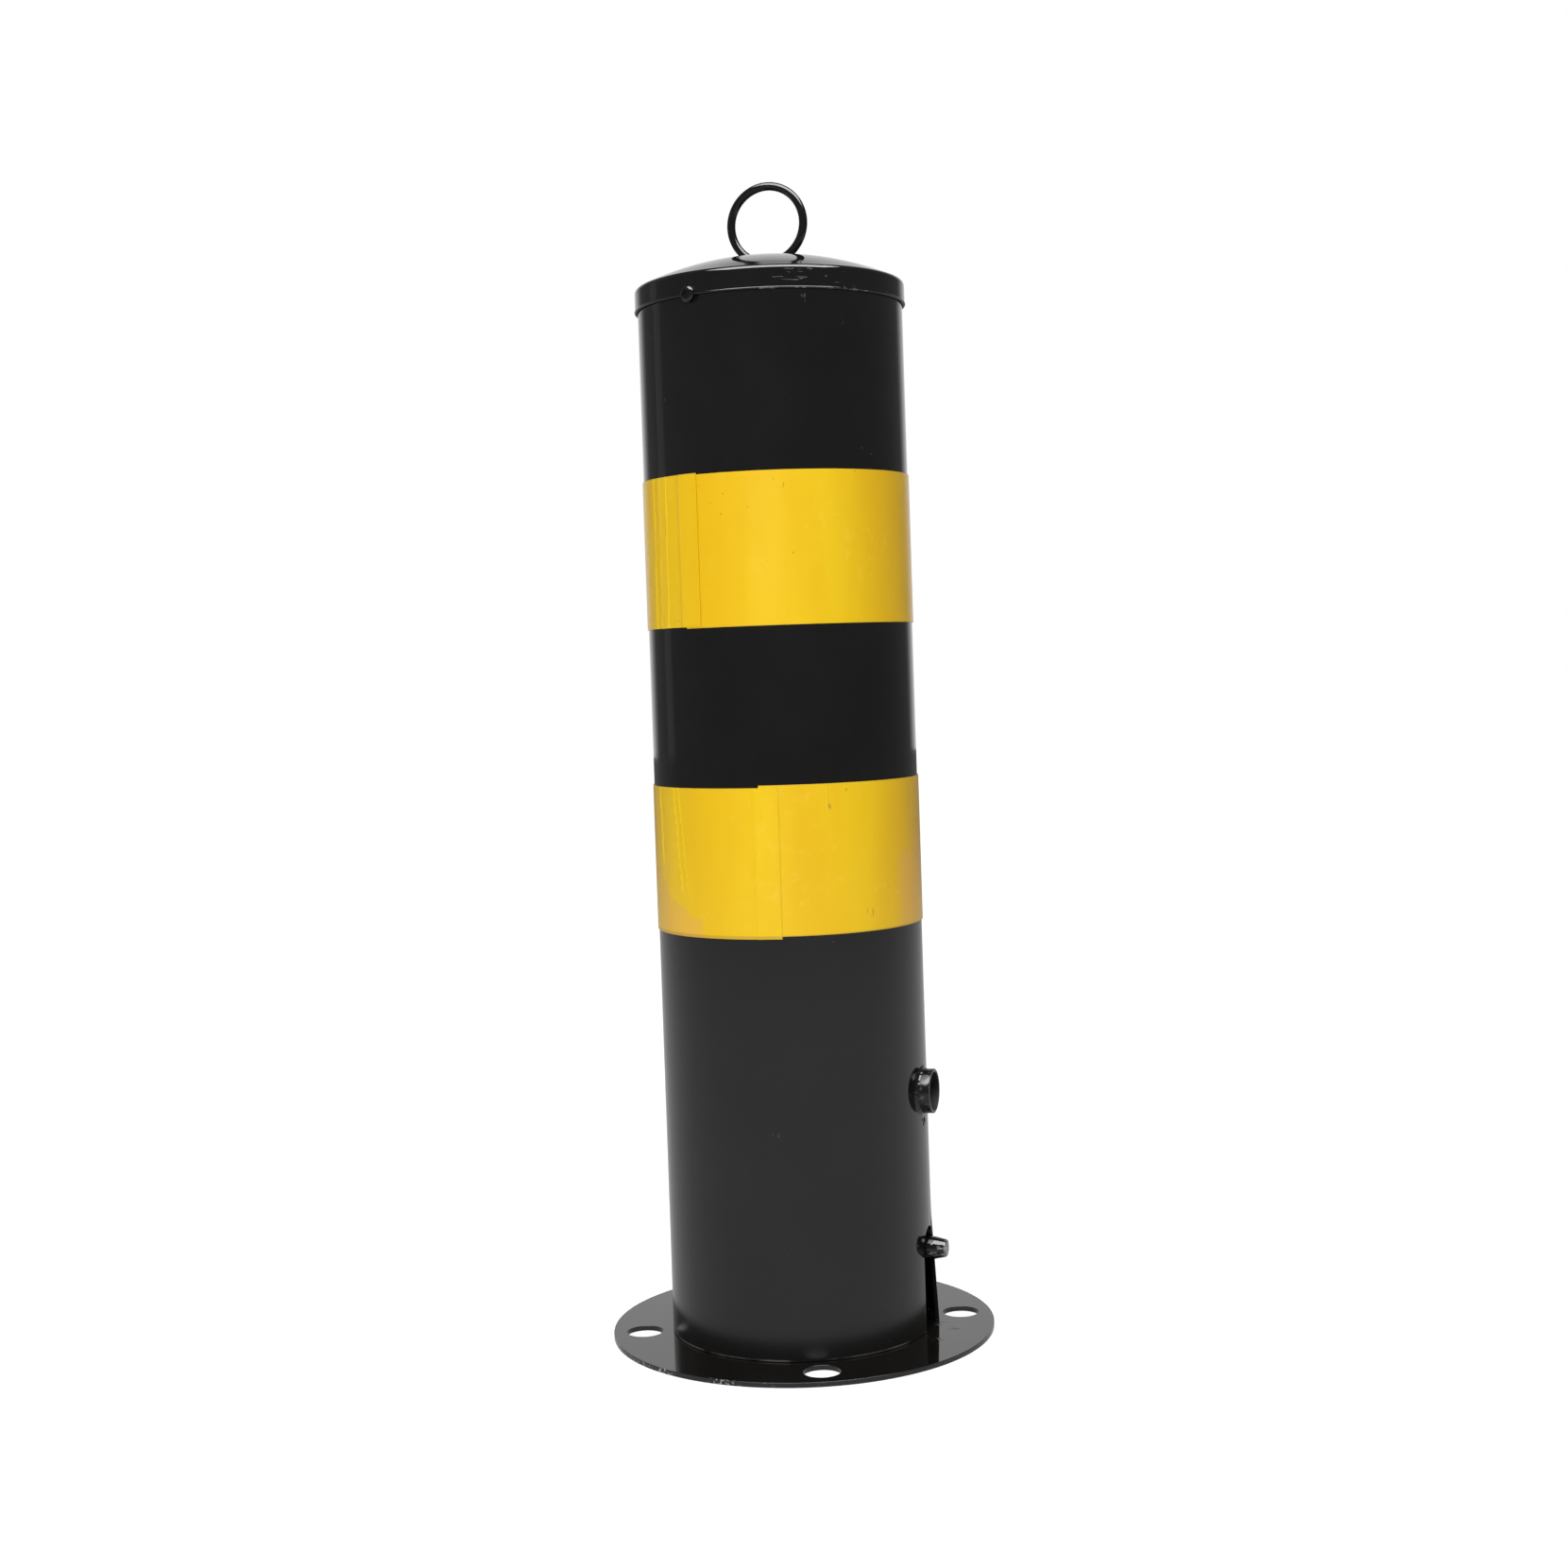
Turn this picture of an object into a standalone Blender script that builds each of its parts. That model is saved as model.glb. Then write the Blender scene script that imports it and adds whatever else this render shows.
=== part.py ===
"""Removable parking bollard: a post that lifts off a bolted base, with a key lock low in its side.

Units are metres and +Z is up. The origin is the centre of the flange's underside.
+X points out of the lock's mouth.
"""
import math

import bmesh
import bpy
from mathutils import Matrix, Vector

# Whole object
BOLLARD_HEIGHT = 0.480      # floor to the top of the lift ring

# Clearances between separate pieces
SEAT_GAP = 0.0003           # between pieces that rest on each other
TAPE_GAP = 0.0002           # between the tape and what it sticks to
SLIDE_GAP = 0.0005          # round the lock's bolt in its holes

# Post tube
POST_DIAMETER = 0.110
POST_WALL = 0.0015

# Base flange
FLANGE_DIAMETER = 0.160
FLANGE_THICKNESS = 0.002
FLANGE_EDGE = 0.0004        # broken edge of the plate
ANCHOR_HOLE_SHARE = 0.6     # hole's diameter as a share of the rim round the post
ANCHOR_PLACE = 0.48         # hole's centre, as a share of the way across the rim
ANCHOR_COUNT = 4
ANCHOR_TURN = math.radians(23.5)    # first hole, from the lock's side

# Spigot that the post drops over
SPIGOT_PLAY = 0.0015        # radial, so that a bent post still comes off
SPIGOT_WALL = 0.002
SPIGOT_HEIGHT = 0.060
SPIGOT_LEAD = 0.001         # chamfer at its top
FOOT_WELD = 0.003           # leg of the weld at the foot of the spigot and the lug

# Locating pin and the slot that drops over it
PIN_TURN = math.radians(1.0)        # from the lock's side
SLOT_TURN = math.radians(2.9)
SLOT_WIDTH = 0.0161
SLOT_TOP = 0.0445           # crown of the slot
PIN_DIAMETER = 0.0092
PIN_TIP_DIAMETER = 0.0073
PIN_HEIGHT = 0.036
PIN_REACH = 0.0080          # how far it stands out of the post
PIN_TAPER = 0.0052          # length of the tapered end
PIN_TIP_ROUND = 0.0006
PIN_WELD_DIAMETER = 0.0152
PIN_WELD_DEPTH = 0.002

# Cap
SKIRT_HEIGHT = 0.0077       # straight part of the cap's edge
CAP_WALL = 0.0008
CAP_CORNER = 0.0022         # outer radius between skirt and dome
DOME_RADIUS = 0.130

# Lift ring
RING_DIAMETER = 0.035       # outer
RING_WIRE = 0.0035
RING_SINK = 0.0035          # how far the ring's foot lies below the dome's crown
RING_JOINT = 0.001          # gap between the wire's ends, closed by the weld
RING_WELD_LENGTH = 0.016
RING_WELD_WIDTH = 0.008
RING_WELD_DEPTH = 0.003

# Cap screws
SCREW_ANGLES = (math.radians(253.0), math.radians(73.0))
SCREW_DIAMETER = 0.0036
SCREW_LENGTH = 0.009
SCREW_POINT = 0.0025
SCREW_HEAD_DIAMETER = 0.0066
SCREW_HEAD_HEIGHT = 0.0017
SCREW_ABOVE_EDGE = 0.0005   # its axis above the skirt's lower edge
RECESS_WIDTH = 0.0009
RECESS_LENGTH = 0.0036
RECESS_DEPTH = 0.0009

# Reflective tape
TAPE_THICKNESS = 0.0003
TAPE_LAP = math.radians(8.0)
LOWER_TAPE_PLACE = 0.403    # its lower edge, as a share of the height under the cap
LOWER_TAPE_SHARE = 0.1406   # its width, as a share of the same
LOWER_TAPE_END = math.radians(284.5)
LOWER_TAPE_DRIFT = -0.001   # how far the strip climbs in its one turn
UPPER_TAPE_PLACE = 0.6912
UPPER_TAPE_SHARE = 0.1429
UPPER_TAPE_END = math.radians(253.5)
UPPER_TAPE_DRIFT = 0.0006

# Lock lug in the middle of the base
LOCK_HEIGHT = 0.1015        # the lock's axis above the floor
LUG_WIDTH = 0.025
LUG_THICKNESS = 0.004
LUG_ABOVE_LOCK = 0.012
LUG_CORNER = 0.006

# Lock tube, welded through the post's wall
LOCK_TUBE_DIAMETER = 0.0183
LOCK_TUBE_BORE = 0.0155
LOCK_STUB = 0.0049          # how far its mouth stands out of the post
LOCK_TUBE_TO_LUG = 0.009
LOCK_MOUTH_EDGE = 0.0003
LOCK_LIP = 0.0015           # inward lip that holds the bush
LOCK_LIP_WIDTH = 0.002
BEAD_RADIUS = 0.0011
BEAD_OUT = 0.0004           # centre of the bead outside the post's surface

# Guide bush
BUSH_LENGTH = 0.004

# Lock bridge, a strap across the post's bore that carries the lock tube's inner end
BRIDGE_THICKNESS = 0.003
BRIDGE_HEIGHT = 0.028
BRIDGE_FROM_TUBE_END = 0.004

# Lock cylinder and the bolt screwed into it
BOLT_DIAMETER = 0.008
BOLT_TO_LUG = 0.0025        # free space in front of the bolt when unlocked
BOLT_CHAMFER = 0.001
BOLT_STUD_DIAMETER = 0.005
BOLT_STUD_LENGTH = 0.0035
CYLINDER_LENGTH = 0.017
CYLINDER_DEPTH = 0.0102     # its face behind the lock's mouth
LOCK_TRAVEL = 0.009
PLUG_BORE_DEPTH = 0.0125

# Key plug
PLUG_DIAMETER = 0.0094
PLUG_GROOVE_DEPTH = 0.001
PLUG_GROOVE_WIDTH = 0.0026
PLUG_GROOVE_PLACE = 0.004   # groove's middle from the plug's inner end
DRIVE_RADIUS = 0.0039       # corners of the three-sided drive
DRIVE_LENGTH = 0.0033

# Plug pin
PLUG_PIN_DIAMETER = 0.002

# Stop screw
STOP_DIAMETER = 0.004
STOP_TIP_DIAMETER = 0.003
STOP_ENTRY = 0.001          # how deep its tip stands in the cylinder's groove
STOP_GROOVE_DEPTH = 0.0014
STOP_FROM_SHOULDER = 0.005
STOP_PROUD = 0.0018         # above the lock tube
STOP_SOCKET_DIAMETER = 0.0022
STOP_SOCKET_DEPTH = 0.0015

# Lock spring
SPRING_WIRE = 0.001
SPRING_TURNS = 4

# Facets
ROUND_STEPS = 80            # large turned pieces
MEDIUM_STEPS = 32           # lock tube and its like
SMALL_STEPS = 24            # pins, screws and holes
ARC_STEPS = 4               # corners in a profile
DOME_STEPS = 4
RING_STEPS = 48
TAPE_STEPS = 82
SPRING_STEPS = 14           # per turn
SHARP_ANGLE = math.radians(32.0)
MERGE = 0.000005
REACH = 0.010               # how far a cutter runs past what it cuts

# Sizes that follow
POST_RADIUS = POST_DIAMETER / 2
POST_BORE = POST_RADIUS - POST_WALL
POST_FOOT = FLANGE_THICKNESS + SEAT_GAP
SPIGOT_RADIUS = POST_BORE - SPIGOT_PLAY
SPIGOT_BORE = SPIGOT_RADIUS - SPIGOT_WALL
SPIGOT_FOOT = FLANGE_THICKNESS + SEAT_GAP
FLANGE_RIM = FLANGE_DIAMETER / 2 - POST_RADIUS
ANCHOR_HOLE_DIAMETER = ANCHOR_HOLE_SHARE * FLANGE_RIM
ANCHOR_RADIUS = POST_RADIUS + ANCHOR_PLACE * FLANGE_RIM

DOME_CROWN = BOLLARD_HEIGHT - RING_DIAMETER + RING_SINK
CAP_BORE = POST_RADIUS + SEAT_GAP
CAP_RADIUS = CAP_BORE + CAP_WALL
DOME_CENTRE = DOME_CROWN - DOME_RADIUS
CORNER_RADIAL = CAP_RADIUS - CAP_CORNER
CORNER_HEIGHT = DOME_CENTRE + math.sqrt((DOME_RADIUS - CAP_CORNER) ** 2 - CORNER_RADIAL ** 2)
SKIRT_FOOT = CORNER_HEIGHT - SKIRT_HEIGHT
POST_TOP = CORNER_HEIGHT
LOWER_TAPE_LOW = LOWER_TAPE_PLACE * SKIRT_FOOT
LOWER_TAPE_WIDTH = LOWER_TAPE_SHARE * SKIRT_FOOT
UPPER_TAPE_LOW = UPPER_TAPE_PLACE * SKIRT_FOOT
UPPER_TAPE_WIDTH = UPPER_TAPE_SHARE * SKIRT_FOOT

LUG_FACE = LUG_THICKNESS / 2
LUG_TOP = LOCK_HEIGHT + LUG_ABOVE_LOCK
MOUTH_FACE = POST_RADIUS + LOCK_STUB
LOCK_TUBE_END = LUG_FACE + LOCK_TUBE_TO_LUG
CYLINDER_FACE = MOUTH_FACE - CYLINDER_DEPTH
CYLINDER_SHOULDER = CYLINDER_FACE - CYLINDER_LENGTH
CYLINDER_RADIUS = LOCK_TUBE_BORE / 2 - SEAT_GAP
BOLT_TIP = LUG_FACE + BOLT_TO_LUG
BOLT_SHOULDER = CYLINDER_SHOULDER - SEAT_GAP
BOLT_HOLE_DIAMETER = BOLT_DIAMETER + 2 * SLIDE_GAP
PLUG_BORE_FLOOR = CYLINDER_FACE - PLUG_BORE_DEPTH
PLUG_INNER_END = PLUG_BORE_FLOOR + SEAT_GAP
PLUG_FACE = CYLINDER_FACE - SEAT_GAP
BUSH_START = LOCK_TUBE_END + LOCK_LIP + SEAT_GAP
BUSH_END = BUSH_START + BUSH_LENGTH
STOP_PLACE = CYLINDER_SHOULDER + STOP_FROM_SHOULDER

ALONG_X = Matrix.Rotation(math.radians(90.0), 4, "Y")


def clear_scene():
    """Remove every object of the open scene."""
    for obj in list(bpy.data.objects):
        bpy.data.objects.remove(obj)


def new_collection(name):
    """Make a collection and link it to the scene."""
    collection = bpy.data.collections.new(name)
    bpy.context.scene.collection.children.link(collection)
    return collection


def finish(name, colour, roughness, metallic):
    """Make a Principled BSDF material."""
    material = bpy.data.materials.new(name)
    material.use_nodes = True
    shader = material.node_tree.nodes["Principled BSDF"]
    shader.inputs["Base Color"].default_value = (*colour, 1.0)
    shader.inputs["Roughness"].default_value = roughness
    shader.inputs["Metallic"].default_value = metallic
    return material


def link_only(obj, collection):
    """Put an object in one collection and no other."""
    for other in list(obj.users_collection):
        other.objects.unlink(obj)
    collection.objects.link(obj)


def arc(centre_radius, centre_height, radius, start, end, steps):
    """Points of an arc in a turned profile, as (radius, height) pairs."""
    return [
        (
            centre_radius + radius * math.cos(start + (end - start) * step / steps),
            centre_height + radius * math.sin(start + (end - start) * step / steps),
        )
        for step in range(steps + 1)
    ]


def turned(name, profile, steps, closed):
    """Turn a profile of (radius, height) points round Z. It runs down its outer side."""
    mesh = bpy.data.meshes.new(name)
    count = len(profile)
    edges = [(index, index + 1) for index in range(count - 1)]
    if closed:
        edges.append((count - 1, 0))
    mesh.from_pydata([(radius, 0.0, height) for radius, height in profile], edges, [])
    obj = bpy.data.objects.new(name, mesh)
    bpy.context.scene.collection.objects.link(obj)
    screw = obj.modifiers.new("Turn", "SCREW")
    screw.axis = "Z"
    screw.steps = steps
    screw.render_steps = steps
    screw.use_merge_vertices = True
    screw.merge_threshold = MERGE
    return obj


def cylinder(name, diameter, start, end, steps):
    """Make a solid cylinder along Z from one height to another."""
    bpy.ops.mesh.primitive_cylinder_add(
        vertices=steps, radius=diameter / 2, depth=end - start, location=(0.0, 0.0, 0.0)
    )
    obj = bpy.context.object
    obj.name = name
    obj.data.transform(Matrix.Translation((0.0, 0.0, (start + end) / 2)))
    return obj


def block(name, low, high):
    """Make a box between two corners."""
    size = Vector(high) - Vector(low)
    centre = (Vector(high) + Vector(low)) / 2
    bpy.ops.mesh.primitive_cube_add(size=1.0, location=(0.0, 0.0, 0.0))
    obj = bpy.context.object
    obj.name = name
    obj.data.transform(Matrix.Translation(centre) @ Matrix.Diagonal((*size, 1.0)))
    return obj


def mesh_from_curve(obj):
    """Replace a curve object by a closed mesh object of the same name and place."""
    depsgraph = bpy.context.evaluated_depsgraph_get()
    mesh = bpy.data.meshes.new_from_object(obj.evaluated_get(depsgraph))
    work = bmesh.new()
    work.from_mesh(mesh)
    bmesh.ops.remove_doubles(work, verts=work.verts, dist=MERGE)
    bmesh.ops.recalc_face_normals(work, faces=work.faces)
    work.to_mesh(mesh)
    work.free()
    name = obj.name
    place = obj.matrix_world.copy()
    bpy.data.objects.remove(obj)
    solid = bpy.data.objects.new(name, mesh)
    bpy.context.scene.collection.objects.link(solid)
    solid.matrix_world = place
    return solid


def poly_curve(name, points, cyclic):
    """Make a curve object with one poly spline through the given points."""
    curve = bpy.data.curves.new(name, "CURVE")
    curve.dimensions = "3D"
    curve.use_fill_caps = True
    spline = curve.splines.new("POLY")
    spline.points.add(len(points) - 1)
    for point, place in zip(spline.points, points):
        point.co = (*place, 1.0)
    spline.use_cyclic_u = cyclic
    obj = bpy.data.objects.new(name, curve)
    bpy.context.scene.collection.objects.link(obj)
    return obj


class Bollard:
    """Holds the two collections and adds pieces to them."""

    def __init__(self):
        self.parts = new_collection("parking_bollard")
        self.cutters = new_collection("cutters")
        self.black = finish("black_paint", (0.012, 0.012, 0.013), 0.15, 0.0)
        self.yellow = finish("yellow_tape", (0.89, 0.60, 0.03), 0.30, 0.0)
        self.steel = finish("zinc_steel", (0.55, 0.56, 0.57), 0.35, 1.0)
        self.spring_steel = finish("spring_steel", (0.40, 0.41, 0.43), 0.30, 1.0)
        self.brass = finish("brass", (0.72, 0.53, 0.24), 0.30, 1.0)

    def cutter(self, obj):
        """Keep a shape as a cutter only."""
        link_only(obj, self.cutters)
        obj.hide_render = True
        obj.display_type = "WIRE"
        return obj

    def combine(self, obj, other, operation):
        """Cut or join another shape into a piece."""
        self.cutter(other)
        boolean = obj.modifiers.new(operation.title(), "BOOLEAN")
        boolean.operation = operation
        boolean.object = other
        boolean.solver = "EXACT"

    def cut(self, obj, *others):
        """Cut each of the other shapes out of a piece."""
        for other in others:
            self.combine(obj, other, "DIFFERENCE")

    def join(self, obj, *others):
        """Join each of the other shapes to a piece."""
        for other in others:
            self.combine(obj, other, "UNION")

    def add(self, obj, material):
        """Bake a finished piece's modifiers, shade it and file it under the bollard."""
        link_only(obj, self.parts)
        depsgraph = bpy.context.evaluated_depsgraph_get()
        mesh = bpy.data.meshes.new_from_object(obj.evaluated_get(depsgraph))
        obj.modifiers.clear()
        obj.data = mesh
        mesh.materials.clear()
        mesh.materials.append(material)
        mesh.shade_smooth()
        mesh.set_sharp_from_angle(angle=SHARP_ANGLE)
        return obj


def turn_z(angle):
    """Rotation about the post's axis."""
    return Matrix.Rotation(angle, 4, "Z")


def lock_axis():
    """Matrix that lays a piece turned round Z along the lock's axis."""
    return Matrix.Translation((0.0, 0.0, LOCK_HEIGHT)) @ ALONG_X


def base_flange(bollard):
    """Round plate with its anchor holes."""
    plate = cylinder("base_flange", FLANGE_DIAMETER, 0.0, FLANGE_THICKNESS, ROUND_STEPS)
    bevel = plate.modifiers.new("Broken edge", "BEVEL")
    bevel.width = FLANGE_EDGE
    bevel.segments = 1
    bevel.limit_method = "ANGLE"
    for index in range(ANCHOR_COUNT):
        angle = ANCHOR_TURN + index * math.tau / ANCHOR_COUNT
        hole = cylinder(
            f"anchor_hole_{index + 1}", ANCHOR_HOLE_DIAMETER, -REACH, FLANGE_THICKNESS + REACH, MEDIUM_STEPS
        )
        hole.matrix_world = turn_z(angle) @ Matrix.Translation((ANCHOR_RADIUS, 0.0, 0.0))
        bollard.cut(plate, hole)
    bollard.add(plate, bollard.black)


def base_spigot(bollard):
    """Short tube on the flange, with the weld inside its foot and a hole for the pin."""
    top = SPIGOT_FOOT + SPIGOT_HEIGHT
    profile = [
        (SPIGOT_RADIUS - SPIGOT_LEAD, top),
        (SPIGOT_RADIUS, top - SPIGOT_LEAD),
        (SPIGOT_RADIUS, SPIGOT_FOOT),
        (SPIGOT_BORE - FOOT_WELD, SPIGOT_FOOT),
        (SPIGOT_BORE, SPIGOT_FOOT + FOOT_WELD),
        (SPIGOT_BORE, top),
    ]
    spigot = turned("base_spigot", profile, ROUND_STEPS, closed=True)
    hole = cylinder(
        "pin_hole", PIN_DIAMETER + 2 * SEAT_GAP, SPIGOT_BORE - REACH, SPIGOT_RADIUS + REACH, SMALL_STEPS
    )
    hole.matrix_world = pin_axis()
    bollard.cut(spigot, hole)
    bollard.add(spigot, bollard.black)


def pin_axis():
    """Matrix that lays a piece turned round Z along the locating pin's axis."""
    return turn_z(PIN_TURN) @ Matrix.Translation((0.0, 0.0, PIN_HEIGHT)) @ ALONG_X


def locating_pin(bollard):
    """Round bar through the spigot's wall, welded inside, with a tapered end."""
    tip = POST_RADIUS + PIN_REACH
    shank = PIN_DIAMETER / 2
    end = PIN_TIP_DIAMETER / 2
    weld = PIN_WELD_DIAMETER / 2
    weld_face = math.sqrt(SPIGOT_BORE ** 2 - weld ** 2) - SEAT_GAP
    profile = [(0.0, tip)]
    profile += arc(
        end - PIN_TIP_ROUND, tip - PIN_TIP_ROUND, PIN_TIP_ROUND, math.radians(90.0), 0.0, ARC_STEPS
    )
    profile += [
        (shank, tip - PIN_TAPER),
        (shank, weld_face),
        (weld, weld_face),
        (shank, weld_face - PIN_WELD_DEPTH),
        (0.0, weld_face - PIN_WELD_DEPTH),
    ]
    pin = turned("locating_pin", profile, SMALL_STEPS, closed=False)
    pin.matrix_world = pin_axis()
    bollard.add(pin, bollard.black)


def lock_lug(bollard):
    """Flat bar that stands in the middle of the base, with the hole for the bolt."""
    foot = FLANGE_THICKNESS + SEAT_GAP
    half_width = LUG_WIDTH / 2
    lug = block("lock_lug", (-LUG_FACE, -half_width, foot), (LUG_FACE, half_width, LUG_TOP))
    work = bmesh.new()
    work.from_mesh(lug.data)
    corners = [
        edge
        for edge in work.edges
        if all(vert.co.z > LOCK_HEIGHT for vert in edge.verts)
        and abs(edge.verts[0].co.y - edge.verts[1].co.y) < MERGE
    ]
    bmesh.ops.bevel(
        work, geom=corners, offset=LUG_CORNER, segments=ARC_STEPS, profile=0.5, affect="EDGES"
    )
    work.to_mesh(lug.data)
    work.free()
    weld = block(
        "lug_weld",
        (-LUG_FACE - FOOT_WELD, -half_width - FOOT_WELD, foot),
        (LUG_FACE + FOOT_WELD, half_width + FOOT_WELD, foot + FOOT_WELD),
    )
    for vert in weld.data.vertices:
        if vert.co.z > foot + FOOT_WELD / 2:
            vert.co.x = math.copysign(LUG_FACE - MERGE, vert.co.x)
            vert.co.y = math.copysign(half_width - MERGE, vert.co.y)
    hole = cylinder("lug_hole", BOLT_HOLE_DIAMETER, -REACH, REACH, MEDIUM_STEPS)
    hole.matrix_world = lock_axis()
    bollard.join(lug, weld)
    bollard.cut(lug, hole)
    bollard.add(lug, bollard.black)


def screw_axis(angle):
    """Matrix that lays a piece turned round Z along a cap screw, pointing outwards."""
    height = SKIRT_FOOT + SCREW_ABOVE_EDGE
    return turn_z(angle) @ Matrix.Translation((0.0, 0.0, height)) @ ALONG_X


def screw_hole(name, angle):
    """Cutter for a cap screw's shank through the skirt and the post's wall."""
    hole = cylinder(
        name, SCREW_DIAMETER + 2 * SEAT_GAP, POST_BORE - REACH, CAP_RADIUS + REACH, SMALL_STEPS
    )
    hole.matrix_world = screw_axis(angle)
    return hole


def post_tube(bollard):
    """Steel tube with the open-bottomed slot, the lock's hole and the cap's screw holes."""
    profile = [
        (POST_RADIUS, POST_TOP),
        (POST_RADIUS, POST_FOOT),
        (POST_BORE, POST_FOOT),
        (POST_BORE, POST_TOP),
    ]
    tube = turned("post_tube", profile, ROUND_STEPS, closed=True)

    crown_centre = SLOT_TOP - SLOT_WIDTH / 2
    crown = cylinder("slot_crown", SLOT_WIDTH, POST_BORE - REACH, POST_RADIUS + REACH, MEDIUM_STEPS)
    crown.matrix_world = turn_z(SLOT_TURN) @ Matrix.Translation((0.0, 0.0, crown_centre)) @ ALONG_X
    slot = block(
        "slot",
        (POST_BORE - REACH, -SLOT_WIDTH / 2, -REACH),
        (POST_RADIUS + REACH, SLOT_WIDTH / 2, crown_centre),
    )
    slot.matrix_world = turn_z(SLOT_TURN)
    lock_hole = cylinder(
        "lock_hole", LOCK_TUBE_DIAMETER + 2 * SEAT_GAP, POST_BORE - REACH, POST_RADIUS + REACH, MEDIUM_STEPS
    )
    lock_hole.matrix_world = lock_axis()
    bollard.cut(tube, crown, slot, lock_hole)
    for index, angle in enumerate(SCREW_ANGLES):
        bollard.cut(tube, screw_hole(f"post_screw_hole_{index + 1}", angle))
    bollard.add(tube, bollard.black)


def cap(bollard):
    """Pressed dome with its skirt, the ring's slot and a notch for each screw."""
    slope = math.asin(CORNER_RADIAL / (DOME_RADIUS - CAP_CORNER))
    corner_end = math.radians(90.0) - slope
    profile = arc(
        0.0, DOME_CENTRE, DOME_RADIUS, math.radians(90.0), corner_end, DOME_STEPS
    )
    profile[0] = (0.0, DOME_CROWN)
    profile += arc(CORNER_RADIAL, CORNER_HEIGHT, CAP_CORNER, corner_end, 0.0, ARC_STEPS)[1:]
    profile.append((CAP_RADIUS, SKIRT_FOOT))
    shell = turned("cap", profile, ROUND_STEPS, closed=False)
    wall = shell.modifiers.new("Wall", "SOLIDIFY")
    wall.thickness = CAP_WALL
    wall.offset = -1.0
    wall.use_even_offset = True

    ring_centre = BOLLARD_HEIGHT - RING_DIAMETER / 2
    drop = ring_centre - DOME_CROWN
    half_length = math.sqrt((RING_DIAMETER / 2) ** 2 - drop ** 2) + SEAT_GAP
    half_width = RING_WIRE / 2 + SEAT_GAP
    slot = block(
        "ring_slot",
        (-half_length, -half_width, DOME_CROWN - REACH),
        (half_length, half_width, DOME_CROWN + REACH),
    )
    bollard.cut(shell, slot)
    half_notch = SCREW_DIAMETER / 2 + SEAT_GAP
    for index, angle in enumerate(SCREW_ANGLES):
        notch = block(
            f"screw_notch_{index + 1}",
            (POST_BORE, -half_notch, SKIRT_FOOT - REACH),
            (CAP_RADIUS + REACH, half_notch, SKIRT_FOOT + SCREW_ABOVE_EDGE),
        )
        notch.matrix_world = turn_z(angle)
        bollard.cut(shell, screw_hole(f"cap_screw_hole_{index + 1}", angle), notch)
    bollard.add(shell, bollard.black)


def lift_ring(bollard):
    """Wire bent round, its two ends welded together under the cap."""
    wire_radius = RING_WIRE / 2
    bend = RING_DIAMETER / 2 - wire_radius
    centre = BOLLARD_HEIGHT - RING_DIAMETER / 2
    half_gap = RING_JOINT / 2 / bend
    start = math.radians(-90.0) + half_gap
    sweep = math.tau - 2 * half_gap
    points = []
    for step in range(RING_STEPS + 1):
        angle = start + sweep * step / RING_STEPS
        points.append((bend * math.cos(angle), 0.0, centre + bend * math.sin(angle)))
    wire = poly_curve("lift_ring", points, cyclic=False)
    wire.data.bevel_depth = wire_radius
    wire.data.bevel_resolution = 4
    ring = mesh_from_curve(wire)

    underside = DOME_CENTRE + math.sqrt((DOME_RADIUS - CAP_WALL) ** 2 - (RING_WELD_LENGTH / 2) ** 2)
    weld_top = underside - SEAT_GAP
    weld = cylinder("ring_weld", 1.0, 0.0, 1.0, SMALL_STEPS)
    weld.data.transform(Matrix.Diagonal((RING_WELD_LENGTH, RING_WELD_WIDTH, RING_WELD_DEPTH, 1.0)))
    weld.data.transform(Matrix.Translation((0.0, 0.0, weld_top - RING_WELD_DEPTH)))
    bollard.join(ring, weld)
    bollard.add(ring, bollard.black)


def cap_screw(bollard, index, angle):
    """Pan-head screw with a cross recess, through the cap's notch into the post."""
    seat = CAP_RADIUS + SEAT_GAP
    head = SCREW_HEAD_DIAMETER / 2
    shank = SCREW_DIAMETER / 2
    crown_radius = (head ** 2 + SCREW_HEAD_HEIGHT ** 2) / (2 * SCREW_HEAD_HEIGHT)
    crown_angle = math.asin(head / crown_radius)
    crown_centre = seat + SCREW_HEAD_HEIGHT - crown_radius
    profile = arc(
        0.0, crown_centre, crown_radius, math.radians(90.0), math.radians(90.0) - crown_angle, ARC_STEPS
    )
    profile[0] = (0.0, seat + SCREW_HEAD_HEIGHT)
    profile += [
        (shank, seat),
        (shank, seat - SCREW_LENGTH + SCREW_POINT),
        (0.0, seat - SCREW_LENGTH),
    ]
    screw = turned(f"cap_screw_{index + 1}", profile, SMALL_STEPS, closed=False)
    screw.matrix_world = screw_axis(angle)
    for turn, (along, across) in enumerate(
        ((RECESS_LENGTH, RECESS_WIDTH), (RECESS_WIDTH, RECESS_LENGTH))
    ):
        top = seat + SCREW_HEAD_HEIGHT
        recess = block(
            f"recess_{index + 1}_{turn + 1}",
            (-along / 2, -across / 2, top - RECESS_DEPTH),
            (along / 2, across / 2, top + REACH),
        )
        recess.matrix_world = screw_axis(angle)
        bollard.cut(screw, recess)
    bollard.add(screw, bollard.black)


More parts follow.
